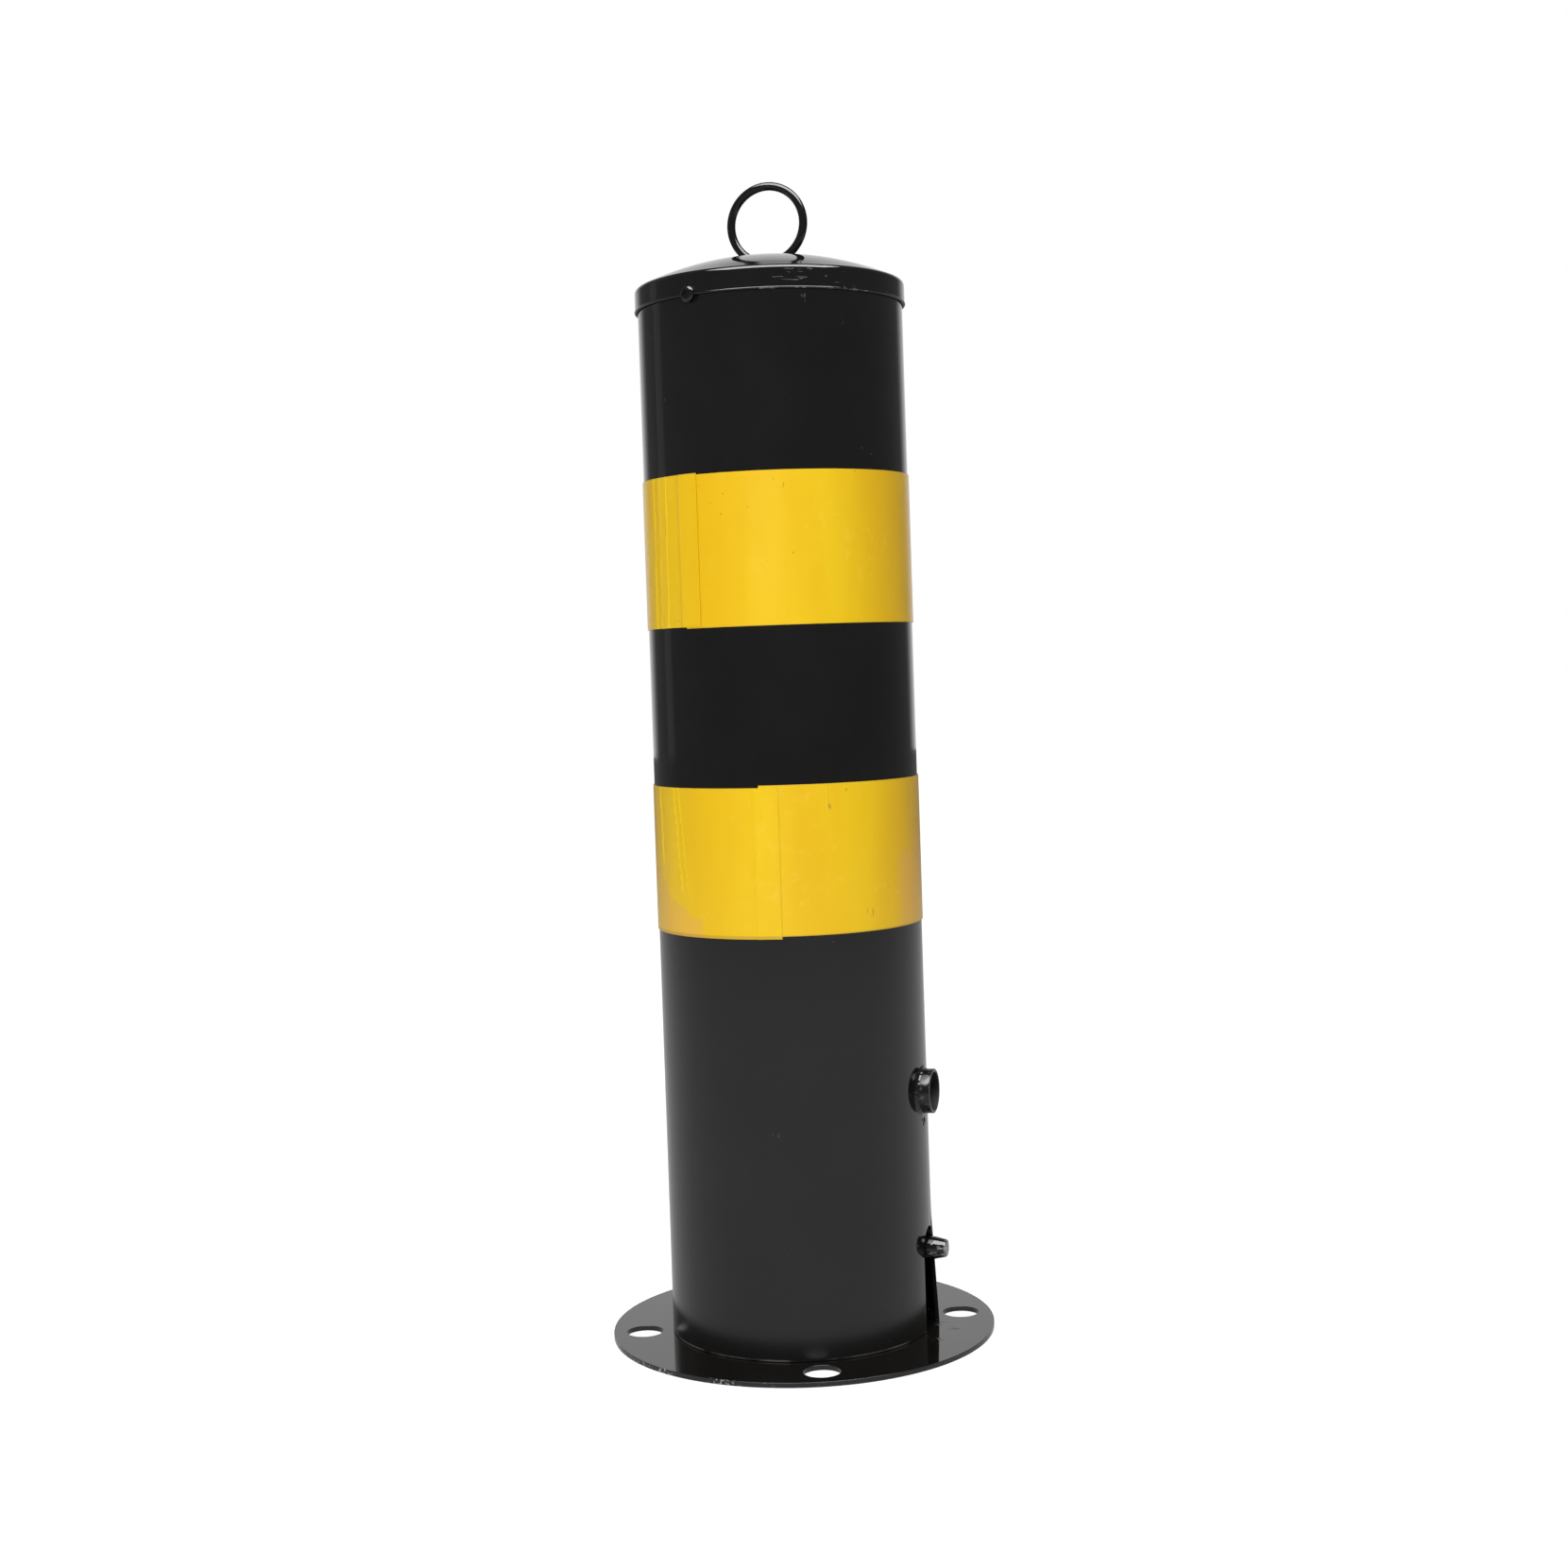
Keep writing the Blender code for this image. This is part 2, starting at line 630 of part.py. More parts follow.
def tape_band(bollard, name, low, width, end, drift):
    """One strip wound once round the post, its end lying on its start."""
    sweep = math.tau + TAPE_LAP
    start = end - TAPE_LAP
    under = POST_RADIUS + TAPE_GAP + TAPE_THICKNESS / 2
    over = under + TAPE_THICKNESS + TAPE_GAP
    rise_from = math.tau - TAPE_LAP / 2
    points = []
    for step in range(TAPE_STEPS + 1):
        turn = sweep * step / TAPE_STEPS
        lift = min(max((turn - rise_from) / (TAPE_LAP / 4), 0.0), 1.0)
        radius = under + (over - under) * lift
        height = low + width / 2 + drift * turn / math.tau
        points.append((radius * math.cos(start + turn), radius * math.sin(start + turn), height))
    section = poly_curve(
        name + "_section",
        [
            (-TAPE_THICKNESS / 2, -width / 2, 0.0),
            (TAPE_THICKNESS / 2, -width / 2, 0.0),
            (TAPE_THICKNESS / 2, width / 2, 0.0),
            (-TAPE_THICKNESS / 2, width / 2, 0.0),
        ],
        cyclic=True,
    )
    section.data.dimensions = "2D"
    bollard.cutter(section)
    strip = poly_curve(name, points, cyclic=False)
    strip.data.twist_mode = "Z_UP"
    strip.data.bevel_mode = "OBJECT"
    strip.data.bevel_object = section
    bollard.add(mesh_from_curve(strip), bollard.yellow)


def lock_tube(bollard):
    """Tube that guards the lock, with its inner lip, stop screw hole and outer weld bead."""
    outer = LOCK_TUBE_DIAMETER / 2
    bore = LOCK_TUBE_BORE / 2
    lip = bore - LOCK_LIP_WIDTH
    profile = [
        (outer - LOCK_MOUTH_EDGE, MOUTH_FACE),
        (outer, MOUTH_FACE - LOCK_MOUTH_EDGE),
        (outer, LOCK_TUBE_END),
        (lip, LOCK_TUBE_END),
        (lip, LOCK_TUBE_END + LOCK_LIP),
        (bore, LOCK_TUBE_END + LOCK_LIP),
        (bore, MOUTH_FACE - LOCK_MOUTH_EDGE),
        (bore + LOCK_MOUTH_EDGE, MOUTH_FACE),
    ]
    tube = turned("lock_tube", profile, MEDIUM_STEPS, closed=True)
    tube.matrix_world = lock_axis()

    saddle = []
    for step in range(MEDIUM_STEPS):
        angle = math.tau * step / MEDIUM_STEPS
        across = outer * math.cos(angle)
        out = math.sqrt(POST_RADIUS ** 2 - across ** 2) + BEAD_OUT
        saddle.append((out, across, LOCK_HEIGHT + outer * math.sin(angle)))
    wire = poly_curve("lock_bead", saddle, cyclic=True)
    wire.data.bevel_depth = BEAD_RADIUS
    wire.data.bevel_resolution = 2
    bead = mesh_from_curve(wire)
    post = cylinder(
        "bead_clearance",
        2 * (POST_RADIUS + SEAT_GAP),
        LOCK_HEIGHT - LOCK_TUBE_DIAMETER,
        LOCK_HEIGHT + LOCK_TUBE_DIAMETER,
        ROUND_STEPS,
    )
    bollard.cut(bead, post)
    bollard.join(tube, bead)

    stop_hole = cylinder(
        "stop_hole", STOP_DIAMETER + 2 * SEAT_GAP, 0.0, LOCK_TUBE_DIAMETER, SMALL_STEPS
    )
    stop_hole.matrix_world = Matrix.Translation((STOP_PLACE, 0.0, LOCK_HEIGHT))
    bollard.cut(tube, stop_hole)
    bollard.add(tube, bollard.black)


def guide_bush(bollard):
    """Ring at the inner end of the lock tube that guides the bolt."""
    outer = LOCK_TUBE_BORE / 2 - SEAT_GAP
    bore = BOLT_HOLE_DIAMETER / 2
    profile = [(outer, BUSH_END), (outer, BUSH_START), (bore, BUSH_START), (bore, BUSH_END)]
    bush = turned("guide_bush", profile, MEDIUM_STEPS, closed=True)
    bush.matrix_world = lock_axis()
    bollard.add(bush, bollard.brass)


def stop_screw(bollard):
    """Set screw in the lock tube whose tip stands in the cylinder's groove."""
    tip = CYLINDER_RADIUS - STOP_ENTRY
    step_up = LOCK_TUBE_BORE / 2
    top = LOCK_TUBE_DIAMETER / 2 + STOP_PROUD
    body = STOP_DIAMETER / 2
    profile = [
        (0.0, top),
        (body, top),
        (body, step_up),
        (STOP_TIP_DIAMETER / 2, step_up),
        (STOP_TIP_DIAMETER / 2, tip),
        (0.0, tip),
    ]
    screw = turned("stop_screw", profile, SMALL_STEPS, closed=False)
    socket = cylinder("stop_socket", STOP_SOCKET_DIAMETER, top - STOP_SOCKET_DEPTH, top + REACH, 6)
    for obj in (screw, socket):
        obj.matrix_world = Matrix.Translation((STOP_PLACE, 0.0, LOCK_HEIGHT))
    bollard.cut(screw, socket)
    bollard.add(screw, bollard.steel)


def lock_bridge(bollard):
    """Strap across the post's bore with a hole for the lock tube."""
    near = LOCK_TUBE_END + BRIDGE_FROM_TUBE_END
    far = near + BRIDGE_THICKNESS
    half_width = math.sqrt((POST_BORE - SEAT_GAP) ** 2 - far ** 2)
    half_height = BRIDGE_HEIGHT / 2
    strap = block(
        "lock_bridge",
        (near, -half_width, LOCK_HEIGHT - half_height),
        (far, half_width, LOCK_HEIGHT + half_height),
    )
    hole = cylinder("bridge_hole", LOCK_TUBE_DIAMETER + 2 * SEAT_GAP, near - REACH, far + REACH, MEDIUM_STEPS)
    hole.matrix_world = lock_axis()
    bollard.cut(strap, hole)
    bollard.add(strap, bollard.black)


def lock_cylinder(bollard):
    """Sliding housing with the plug's bore, the bolt's thread hole, stop groove and pin hole."""
    bore = PLUG_DIAMETER / 2 + SEAT_GAP
    stud = BOLT_STUD_DIAMETER / 2 + SEAT_GAP
    stud_floor = CYLINDER_SHOULDER + BOLT_STUD_LENGTH
    profile = [
        (0.0, PLUG_BORE_FLOOR),
        (bore, PLUG_BORE_FLOOR),
        (bore, CYLINDER_FACE),
        (CYLINDER_RADIUS, CYLINDER_FACE),
        (CYLINDER_RADIUS, CYLINDER_SHOULDER),
        (stud, CYLINDER_SHOULDER),
        (stud, stud_floor),
        (0.0, stud_floor),
    ]
    housing = turned("lock_cylinder", profile, MEDIUM_STEPS, closed=False)
    housing.matrix_world = lock_axis()
    half_tip = STOP_TIP_DIAMETER / 2 + SEAT_GAP
    groove = block(
        "stop_groove",
        (STOP_PLACE - half_tip, -half_tip, LOCK_HEIGHT + CYLINDER_RADIUS - STOP_GROOVE_DEPTH),
        (STOP_PLACE + half_tip + LOCK_TRAVEL, half_tip, LOCK_HEIGHT + CYLINDER_RADIUS + REACH),
    )
    pin_hole = cylinder(
        "plug_pin_hole", PLUG_PIN_DIAMETER + 2 * SEAT_GAP, -CYLINDER_RADIUS - REACH, 0.0, SMALL_STEPS
    )
    pin_hole.matrix_world = Matrix.Translation((plug_pin_place(), 0.0, LOCK_HEIGHT))
    bollard.cut(housing, groove, pin_hole)
    bollard.add(housing, bollard.steel)


def lock_bolt(bollard):
    """Round bolt with a stud that screws into the back of the lock cylinder."""
    radius = BOLT_DIAMETER / 2
    stud = BOLT_STUD_DIAMETER / 2
    stud_end = BOLT_SHOULDER + BOLT_STUD_LENGTH
    profile = [
        (0.0, stud_end),
        (stud, stud_end),
        (stud, BOLT_SHOULDER),
        (radius, BOLT_SHOULDER),
        (radius, BOLT_TIP + BOLT_CHAMFER),
        (radius - BOLT_CHAMFER, BOLT_TIP),
        (0.0, BOLT_TIP),
    ]
    bolt = turned("lock_bolt", profile, MEDIUM_STEPS, closed=False)
    bolt.matrix_world = lock_axis()
    bollard.add(bolt, bollard.steel)


def plug_pin_place():
    """Where the plug's groove and its pin lie along the lock's axis."""
    return PLUG_INNER_END + PLUG_GROOVE_PLACE


def plug_pin(bollard):
    """Small pin in the cylinder's wall whose end runs in the key plug's groove."""
    inner = PLUG_DIAMETER / 2 - PLUG_GROOVE_DEPTH + SEAT_GAP
    pin = cylinder("plug_pin", PLUG_PIN_DIAMETER, -CYLINDER_RADIUS, -inner, SMALL_STEPS)
    pin.matrix_world = Matrix.Translation((plug_pin_place(), 0.0, LOCK_HEIGHT))
    bollard.add(pin, bollard.steel)


def key_plug(bollard):
    """Turning core with the groove for its pin and a three-sided drive for the key."""
    radius = PLUG_DIAMETER / 2
    groove = radius - PLUG_GROOVE_DEPTH
    groove_end = plug_pin_place() + PLUG_GROOVE_WIDTH / 2
    groove_start = plug_pin_place() - PLUG_GROOVE_WIDTH / 2
    profile = [
        (0.0, PLUG_FACE),
        (radius, PLUG_FACE),
        (radius, groove_end),
        (groove, groove_end),
        (groove, groove_start),
        (radius, groove_start),
        (radius, PLUG_INNER_END),
        (0.0, PLUG_INNER_END),
    ]
    plug = turned("key_plug", profile, MEDIUM_STEPS, closed=False)
    plug.matrix_world = lock_axis()
    drive = cylinder("key_drive", 2 * DRIVE_RADIUS, PLUG_FACE - DRIVE_LENGTH, PLUG_FACE + DRIVE_LENGTH, 3)
    drive.matrix_world = lock_axis()
    bollard.join(plug, drive)
    bollard.add(plug, bollard.brass)


def lock_spring(bollard):
    """Coil round the bolt, between the guide bush and the cylinder's shoulder."""
    wire_radius = SPRING_WIRE / 2
    start = BUSH_END + SEAT_GAP + wire_radius
    end = CYLINDER_SHOULDER - SEAT_GAP - wire_radius
    coil = (BOLT_DIAMETER / 2 + LOCK_TUBE_BORE / 2) / 2
    count = SPRING_TURNS * SPRING_STEPS
    points = []
    for step in range(count + 1):
        angle = math.tau * step / SPRING_STEPS
        along = start + (end - start) * step / count
        points.append((along, coil * math.cos(angle), LOCK_HEIGHT + coil * math.sin(angle)))
    wire = poly_curve("lock_spring", points, cyclic=False)
    wire.data.bevel_depth = wire_radius
    wire.data.bevel_resolution = 2
    bollard.add(mesh_from_curve(wire), bollard.spring_steel)


def build():
    """Model every piece of the bollard."""
    clear_scene()
    bollard = Bollard()
    base_flange(bollard)
    base_spigot(bollard)
    locating_pin(bollard)
    lock_lug(bollard)
    post_tube(bollard)
    cap(bollard)
    lift_ring(bollard)
    for index, angle in enumerate(SCREW_ANGLES):
        cap_screw(bollard, index, angle)
    tape_band(
        bollard, "lower_band", LOWER_TAPE_LOW, LOWER_TAPE_WIDTH, LOWER_TAPE_END, LOWER_TAPE_DRIFT
    )
    tape_band(
        bollard, "upper_band", UPPER_TAPE_LOW, UPPER_TAPE_WIDTH, UPPER_TAPE_END, UPPER_TAPE_DRIFT
    )
    lock_tube(bollard)
    guide_bush(bollard)
    stop_screw(bollard)
    lock_bridge(bollard)
    lock_cylinder(bollard)
    lock_bolt(bollard)
    plug_pin(bollard)
    key_plug(bollard)
    lock_spring(bollard)


build()
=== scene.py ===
"""Removable parking bollard, dressed over its CAD: enamelled steel, reflective film, lock and fixings.

Sizes are metres in the frame of the CAD. +Z is up and +X points out of the lock's mouth.
"""
import logging
import math
from collections.abc import Callable, Iterator
from contextlib import contextmanager
from dataclasses import dataclass
from enum import Enum

import bmesh
import bpy
from mathutils import Matrix, Vector


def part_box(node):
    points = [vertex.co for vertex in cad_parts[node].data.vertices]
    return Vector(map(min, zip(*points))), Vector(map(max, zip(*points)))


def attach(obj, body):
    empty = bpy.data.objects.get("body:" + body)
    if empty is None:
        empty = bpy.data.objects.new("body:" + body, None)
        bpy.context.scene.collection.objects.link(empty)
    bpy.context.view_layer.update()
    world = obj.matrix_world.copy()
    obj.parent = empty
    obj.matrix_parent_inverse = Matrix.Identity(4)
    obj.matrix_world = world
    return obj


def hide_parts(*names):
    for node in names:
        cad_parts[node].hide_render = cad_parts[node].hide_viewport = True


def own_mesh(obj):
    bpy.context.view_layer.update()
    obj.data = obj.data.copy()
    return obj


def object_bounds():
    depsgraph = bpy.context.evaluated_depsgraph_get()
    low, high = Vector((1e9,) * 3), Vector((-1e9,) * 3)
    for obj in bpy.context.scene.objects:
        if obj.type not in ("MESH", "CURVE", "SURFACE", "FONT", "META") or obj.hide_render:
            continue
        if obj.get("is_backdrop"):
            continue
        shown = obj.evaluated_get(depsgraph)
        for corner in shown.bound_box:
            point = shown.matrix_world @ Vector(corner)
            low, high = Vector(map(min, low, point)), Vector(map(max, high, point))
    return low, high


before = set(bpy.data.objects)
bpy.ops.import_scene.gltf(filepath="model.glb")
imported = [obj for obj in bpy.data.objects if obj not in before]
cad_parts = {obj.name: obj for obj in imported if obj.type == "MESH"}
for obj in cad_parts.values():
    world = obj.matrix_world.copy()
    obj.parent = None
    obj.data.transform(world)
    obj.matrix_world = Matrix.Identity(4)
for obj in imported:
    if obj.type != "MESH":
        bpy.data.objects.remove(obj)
CAD_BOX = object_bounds()

LOG = logging.getLogger("bollard")

PHOTO_SIDE = 1660           # pixels along one side of the photograph
MERGE = 0.000002            # points closer than this are one
REACH = 0.010               # how far a cutter runs past what it cuts
CUTTER_POINTS = 96          # points round a drilled hole
ANGLE_SLACK = 0.001         # radians within which two angles are the same
LIGHTS_FACE = Vector((0.0, 0.0, 0.25))
UP = (0.0, 0.0, 1.0)
FLAT = (1.0, 1.0, 0.0)      # takes a vector's height away
WHITE = (1.0, 1.0, 1.0)
ALONG_X = Matrix.Rotation(math.radians(90.0), 4, "Y")

Piece = bpy.types.Object
Material = bpy.types.Material
Socket = bpy.types.NodeSocket
Ring = tuple[float, float]
Triple = tuple[float, float, float]
Spots = tuple[tuple[Vector, float], ...]    # small marks, each its place and its reach


class Body(Enum):
    """Bodies of the frame that new pieces ride on."""

    BASE = "base"
    POST = "post"


class Slot(Enum):
    """Material slots of the record."""

    ENAMEL = "black_paint"
    FILM = "yellow_tape"
    SPRING = "spring_steel"


class Side(Enum):
    """Which way a lathe's profile is closed."""

    SOLID = "solid"
    HOLLOW = "hollow"


def node_span(node: str, axis: int) -> Ring:
    """Give a CAD node's lowest and highest coordinate along one axis.

    Args:
        node: name of the CAD node.
        axis: 0 for X, 1 for Y, 2 for Z.

    Returns:
        The lowest and the highest coordinate.
    """
    low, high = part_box(node)
    return low[axis], high[axis]


def node_middle(node: str, axis: int) -> float:
    """Coordinate of a CAD node's middle along one axis."""
    low, high = node_span(node, axis)
    return (low + high) / 2


def turn_z(angle: float) -> Matrix:
    """Rotation about the post's axis by an angle in radians."""
    return Matrix.Rotation(angle, 4, "Z")


def shift(along: float, aside: float, height: float) -> Matrix:
    """Move by a distance along each axis."""
    return Matrix.Translation((along, aside, height))


def around_post(radius: float, turn: float, height: float) -> Vector:
    """Place at a radius, an angle in radians and a height round the post's axis."""
    return Vector((radius * math.cos(turn), radius * math.sin(turn), height))


def side_axis(angle: float, height: float) -> Matrix:
    """Lay a piece turned round Z so that it points out of the post at an angle and height."""
    return turn_z(angle) @ shift(0.0, 0.0, height) @ ALONG_X


def spots(radius: float, marks: tuple[Triple, ...]) -> Spots:
    """Set marks, given as degrees round the post, height and reach, at a radius."""
    return tuple((around_post(radius, math.radians(turn), height), reach) for turn, height, reach in marks)


# Modelling tools


def select_only(piece: Piece) -> None:
    """Make one object the only selected and the active one.

    Args:
        piece: the object.
    """
    if bpy.context.object and bpy.context.object.mode != "OBJECT":
        bpy.ops.object.mode_set(mode="OBJECT")
    bpy.ops.object.select_all(action="DESELECT")
    piece.select_set(True)
    bpy.context.view_layer.objects.active = piece


def apply_place() -> None:
    """Write the selected object's place into its mesh."""
    bpy.ops.object.transform_apply(location=True, rotation=True, scale=True)


@contextmanager
def editing(piece: Piece, wanted: Callable[[Vector], bool] | None = None) -> Iterator[None]:
    """Open a piece in edit mode with its points selected, and close it again.

    Args:
        piece: the piece to open.
        wanted: tells for a point's place whether it is selected, or None for all of them.
    """
    select_only(piece)
    bpy.ops.object.mode_set(mode="EDIT")
    bpy.ops.mesh.select_mode(type="VERT")
    bpy.ops.mesh.select_all(action="DESELECT" if wanted else "SELECT")
    if wanted:
        mesh = bmesh.from_edit_mesh(piece.data)
        for point in mesh.verts:
            point.select_set(wanted(point.co))
        mesh.select_flush_mode()
        bmesh.update_edit_mesh(piece.data)
    yield
    bpy.ops.object.mode_set(mode="OBJECT")


def add(operator: Callable[..., object], name: str, **settings: object) -> Piece:
    """Add one of Blender's plain shapes, with its place written into its mesh.

    Args:
        operator: the operator that adds the shape.
        name: name of the new object.
        settings: the operator's settings.

    Returns:
        The new object.
    """
    bpy.ops.object.select_all(action="DESELECT")
    operator(**settings)
    piece = bpy.context.object
    piece.name = name
    apply_place()
    return piece


def arc_rings(centre: Ring, radius: float, start: float, end: float, steps: int) -> list[Ring]:
    """Rings along an arc of a turned profile.

    Args:
        centre: radius and height of the arc's centre.
        radius: radius of the arc.
        start: first angle in degrees, 0 outwards and 90 up.
        end: last angle in degrees.
        steps: number of steps along the arc.

    Returns:
        Radius and height of each ring.
    """
    rings = []
    for step in range(steps + 1):
        angle = math.radians(start + (end - start) * step / steps)
        rings.append((centre[0] + radius * math.cos(angle), centre[1] + radius * math.sin(angle)))
    return rings


def even_rings(first: Ring, last: Ring, steps: int) -> list[Ring]:
    """Rings at even steps from one ring to another.

    Args:
        first: radius and height of the first ring.
        last: radius and height of the last one.
        steps: number of steps between them.

    Returns:
        Radius and height of each ring, both ends included.
    """
    across = last[0] - first[0]
    up = last[1] - first[1]
    return [(first[0] + across * step / steps, first[1] + up * step / steps) for step in range(steps + 1)]


def close_up(fill: bool) -> None:
    """Merge doubles in edit mode, fill open ends if asked and turn the faces outwards.

    Args:
        fill: whether open ends are filled.
    """
    bpy.ops.mesh.select_all(action="SELECT")
    bpy.ops.mesh.remove_doubles(threshold=MERGE)
    if fill:
        bpy.ops.mesh.fill_holes(sides=0)
    bpy.ops.mesh.normals_make_consistent(inside=False)


def lathe(name: str, rings: list[Ring], around: int, side: Side) -> Piece:
    """Raise a circle ring by ring into a turned piece.

    Args:
        name: name of the new object.
        rings: radius and height of each ring, none of them at the axis but the last.
        around: number of points round the axis.
        side: SOLID closes both ends, HOLLOW joins the last ring to the first.

    Returns:
        The new object, turned round Z.
    """
    radius, height = rings[0]
    piece = add(
        bpy.ops.mesh.primitive_circle_add,
        name,
        vertices=around,
        radius=radius,
        fill_type="NOTHING",
        location=(0.0, 0.0, height),
    )
    closing = rings[:1] if side is Side.HOLLOW else []
    with editing(piece):
        for next_radius, next_height in rings[1:] + closing:
            bpy.ops.mesh.extrude_region_move(
                TRANSFORM_OT_translate={"value": (0.0, 0.0, next_height - height)}
            )
            grow = next_radius / radius
            bpy.ops.transform.resize(value=(grow, grow, 1.0), center_override=(0.0, 0.0, next_height))
            radius, height = next_radius, next_height
        close_up(side is Side.SOLID)
    return piece


def rod(radius: float, low: float, high: float, around: int = CUTTER_POINTS) -> Piece:
    """Turn a plain rod round Z from one height to another, to cut with."""
    return lathe("cutter", [(radius, low), (radius, high)], around, Side.SOLID)


def settle(piece: Piece, place: Matrix) -> Piece:
    """Move a piece to its place and write the place into its mesh.

    Args:
        piece: the piece, modelled about the origin.
        place: where it goes, with its scale if it has one.

    Returns:
        The same piece, its object back at the origin.
    """
    piece.matrix_world = place
    select_only(piece)
    apply_place()
    return piece


def bar(low: Vector, high: Vector) -> Piece:
    """Make a box between two corners, to cut with."""
    blank = add(bpy.ops.mesh.primitive_cube_add, "cutter", size=1.0)
    return settle(blank, Matrix.LocRotScale((low + high) / 2, None, high - low))


def run_modifier(piece: Piece, kind: str, **settings: object) -> None:
    """Add a modifier with its settings and apply it.

    Args:
        piece: the piece to change.
        kind: Blender's name for the kind of modifier.
        settings: values for the modifier's fields.
    """
    select_only(piece)
    bpy.ops.object.modifier_add(type=kind)
    modifier = piece.modifiers[-1]
    for field_name, value in settings.items():
        setattr(modifier, field_name, value)
    bpy.ops.object.modifier_apply(modifier=modifier.name)


def carve(piece: Piece, *cutters: Piece) -> None:
    """Cut shapes out of a piece and delete the cutters.

    Args:
        piece: the piece to change.
        cutters: the shapes to cut out.
    """
    for cutter in cutters:
        run_modifier(piece, "BOOLEAN", operation="DIFFERENCE", solver="EXACT", object=cutter)
        bpy.data.objects.remove(cutter)


def round_edges(piece: Piece, width: float, segments: int, angle: float = 40.0) -> None:
    """Round every edge sharper than an angle.

    Args:
        piece: the piece to change.
        width: width of the rounding.
        segments: faces across it.
        angle: smallest angle in degrees between faces that is rounded.
    """
    run_modifier(
        piece,
        "BEVEL",
        width=width,
        segments=segments,
        limit_method="ANGLE",
        angle_limit=math.radians(angle),
        use_clamp_overlap=True,
    )


def smooth(piece: Piece, angle: float = 35.0, weighted: bool = False) -> None:
    """Shade a piece smooth up to an angle.

    Args:
        piece: the piece to shade.
        angle: edges sharper than this, in degrees, stay sharp.
        weighted: let large faces rule the shading next to a rounded edge.
    """
    select_only(piece)
    bpy.ops.object.shade_smooth_by_angle(angle=math.radians(angle))
    if weighted:
        run_modifier(piece, "WEIGHTED_NORMAL", keep_sharp=True, mode="FACE_AREA", weight=60)


def roughen(piece: Piece, depth: float, grain: float) -> None:
    """Push a piece's surface in and out by a cloudy pattern.

    Args:
        piece: the piece to change.
        depth: full depth of the unevenness.
        grain: size of its lumps.
    """
    clouds = bpy.data.textures.new(piece.name + "_clouds", "CLOUDS")
    clouds.noise_scale = grain
    clouds.noise_depth = 2
    run_modifier(
        piece, "DISPLACE", texture=clouds, texture_coords="LOCAL", strength=depth, mid_level=0.5
    )


def face_outward(strip: Piece) -> None:
    """Turn an open strip's faces so that they point away from the post's axis.

    Args:
        strip: the strip round the post.
    """
    face = strip.data.polygons[0]
    away = Vector((face.center.x, face.center.y, 0.0))
    if face.normal.dot(away) < 0.0:
        with editing(strip):
            bpy.ops.mesh.flip_normals()


# Finishes


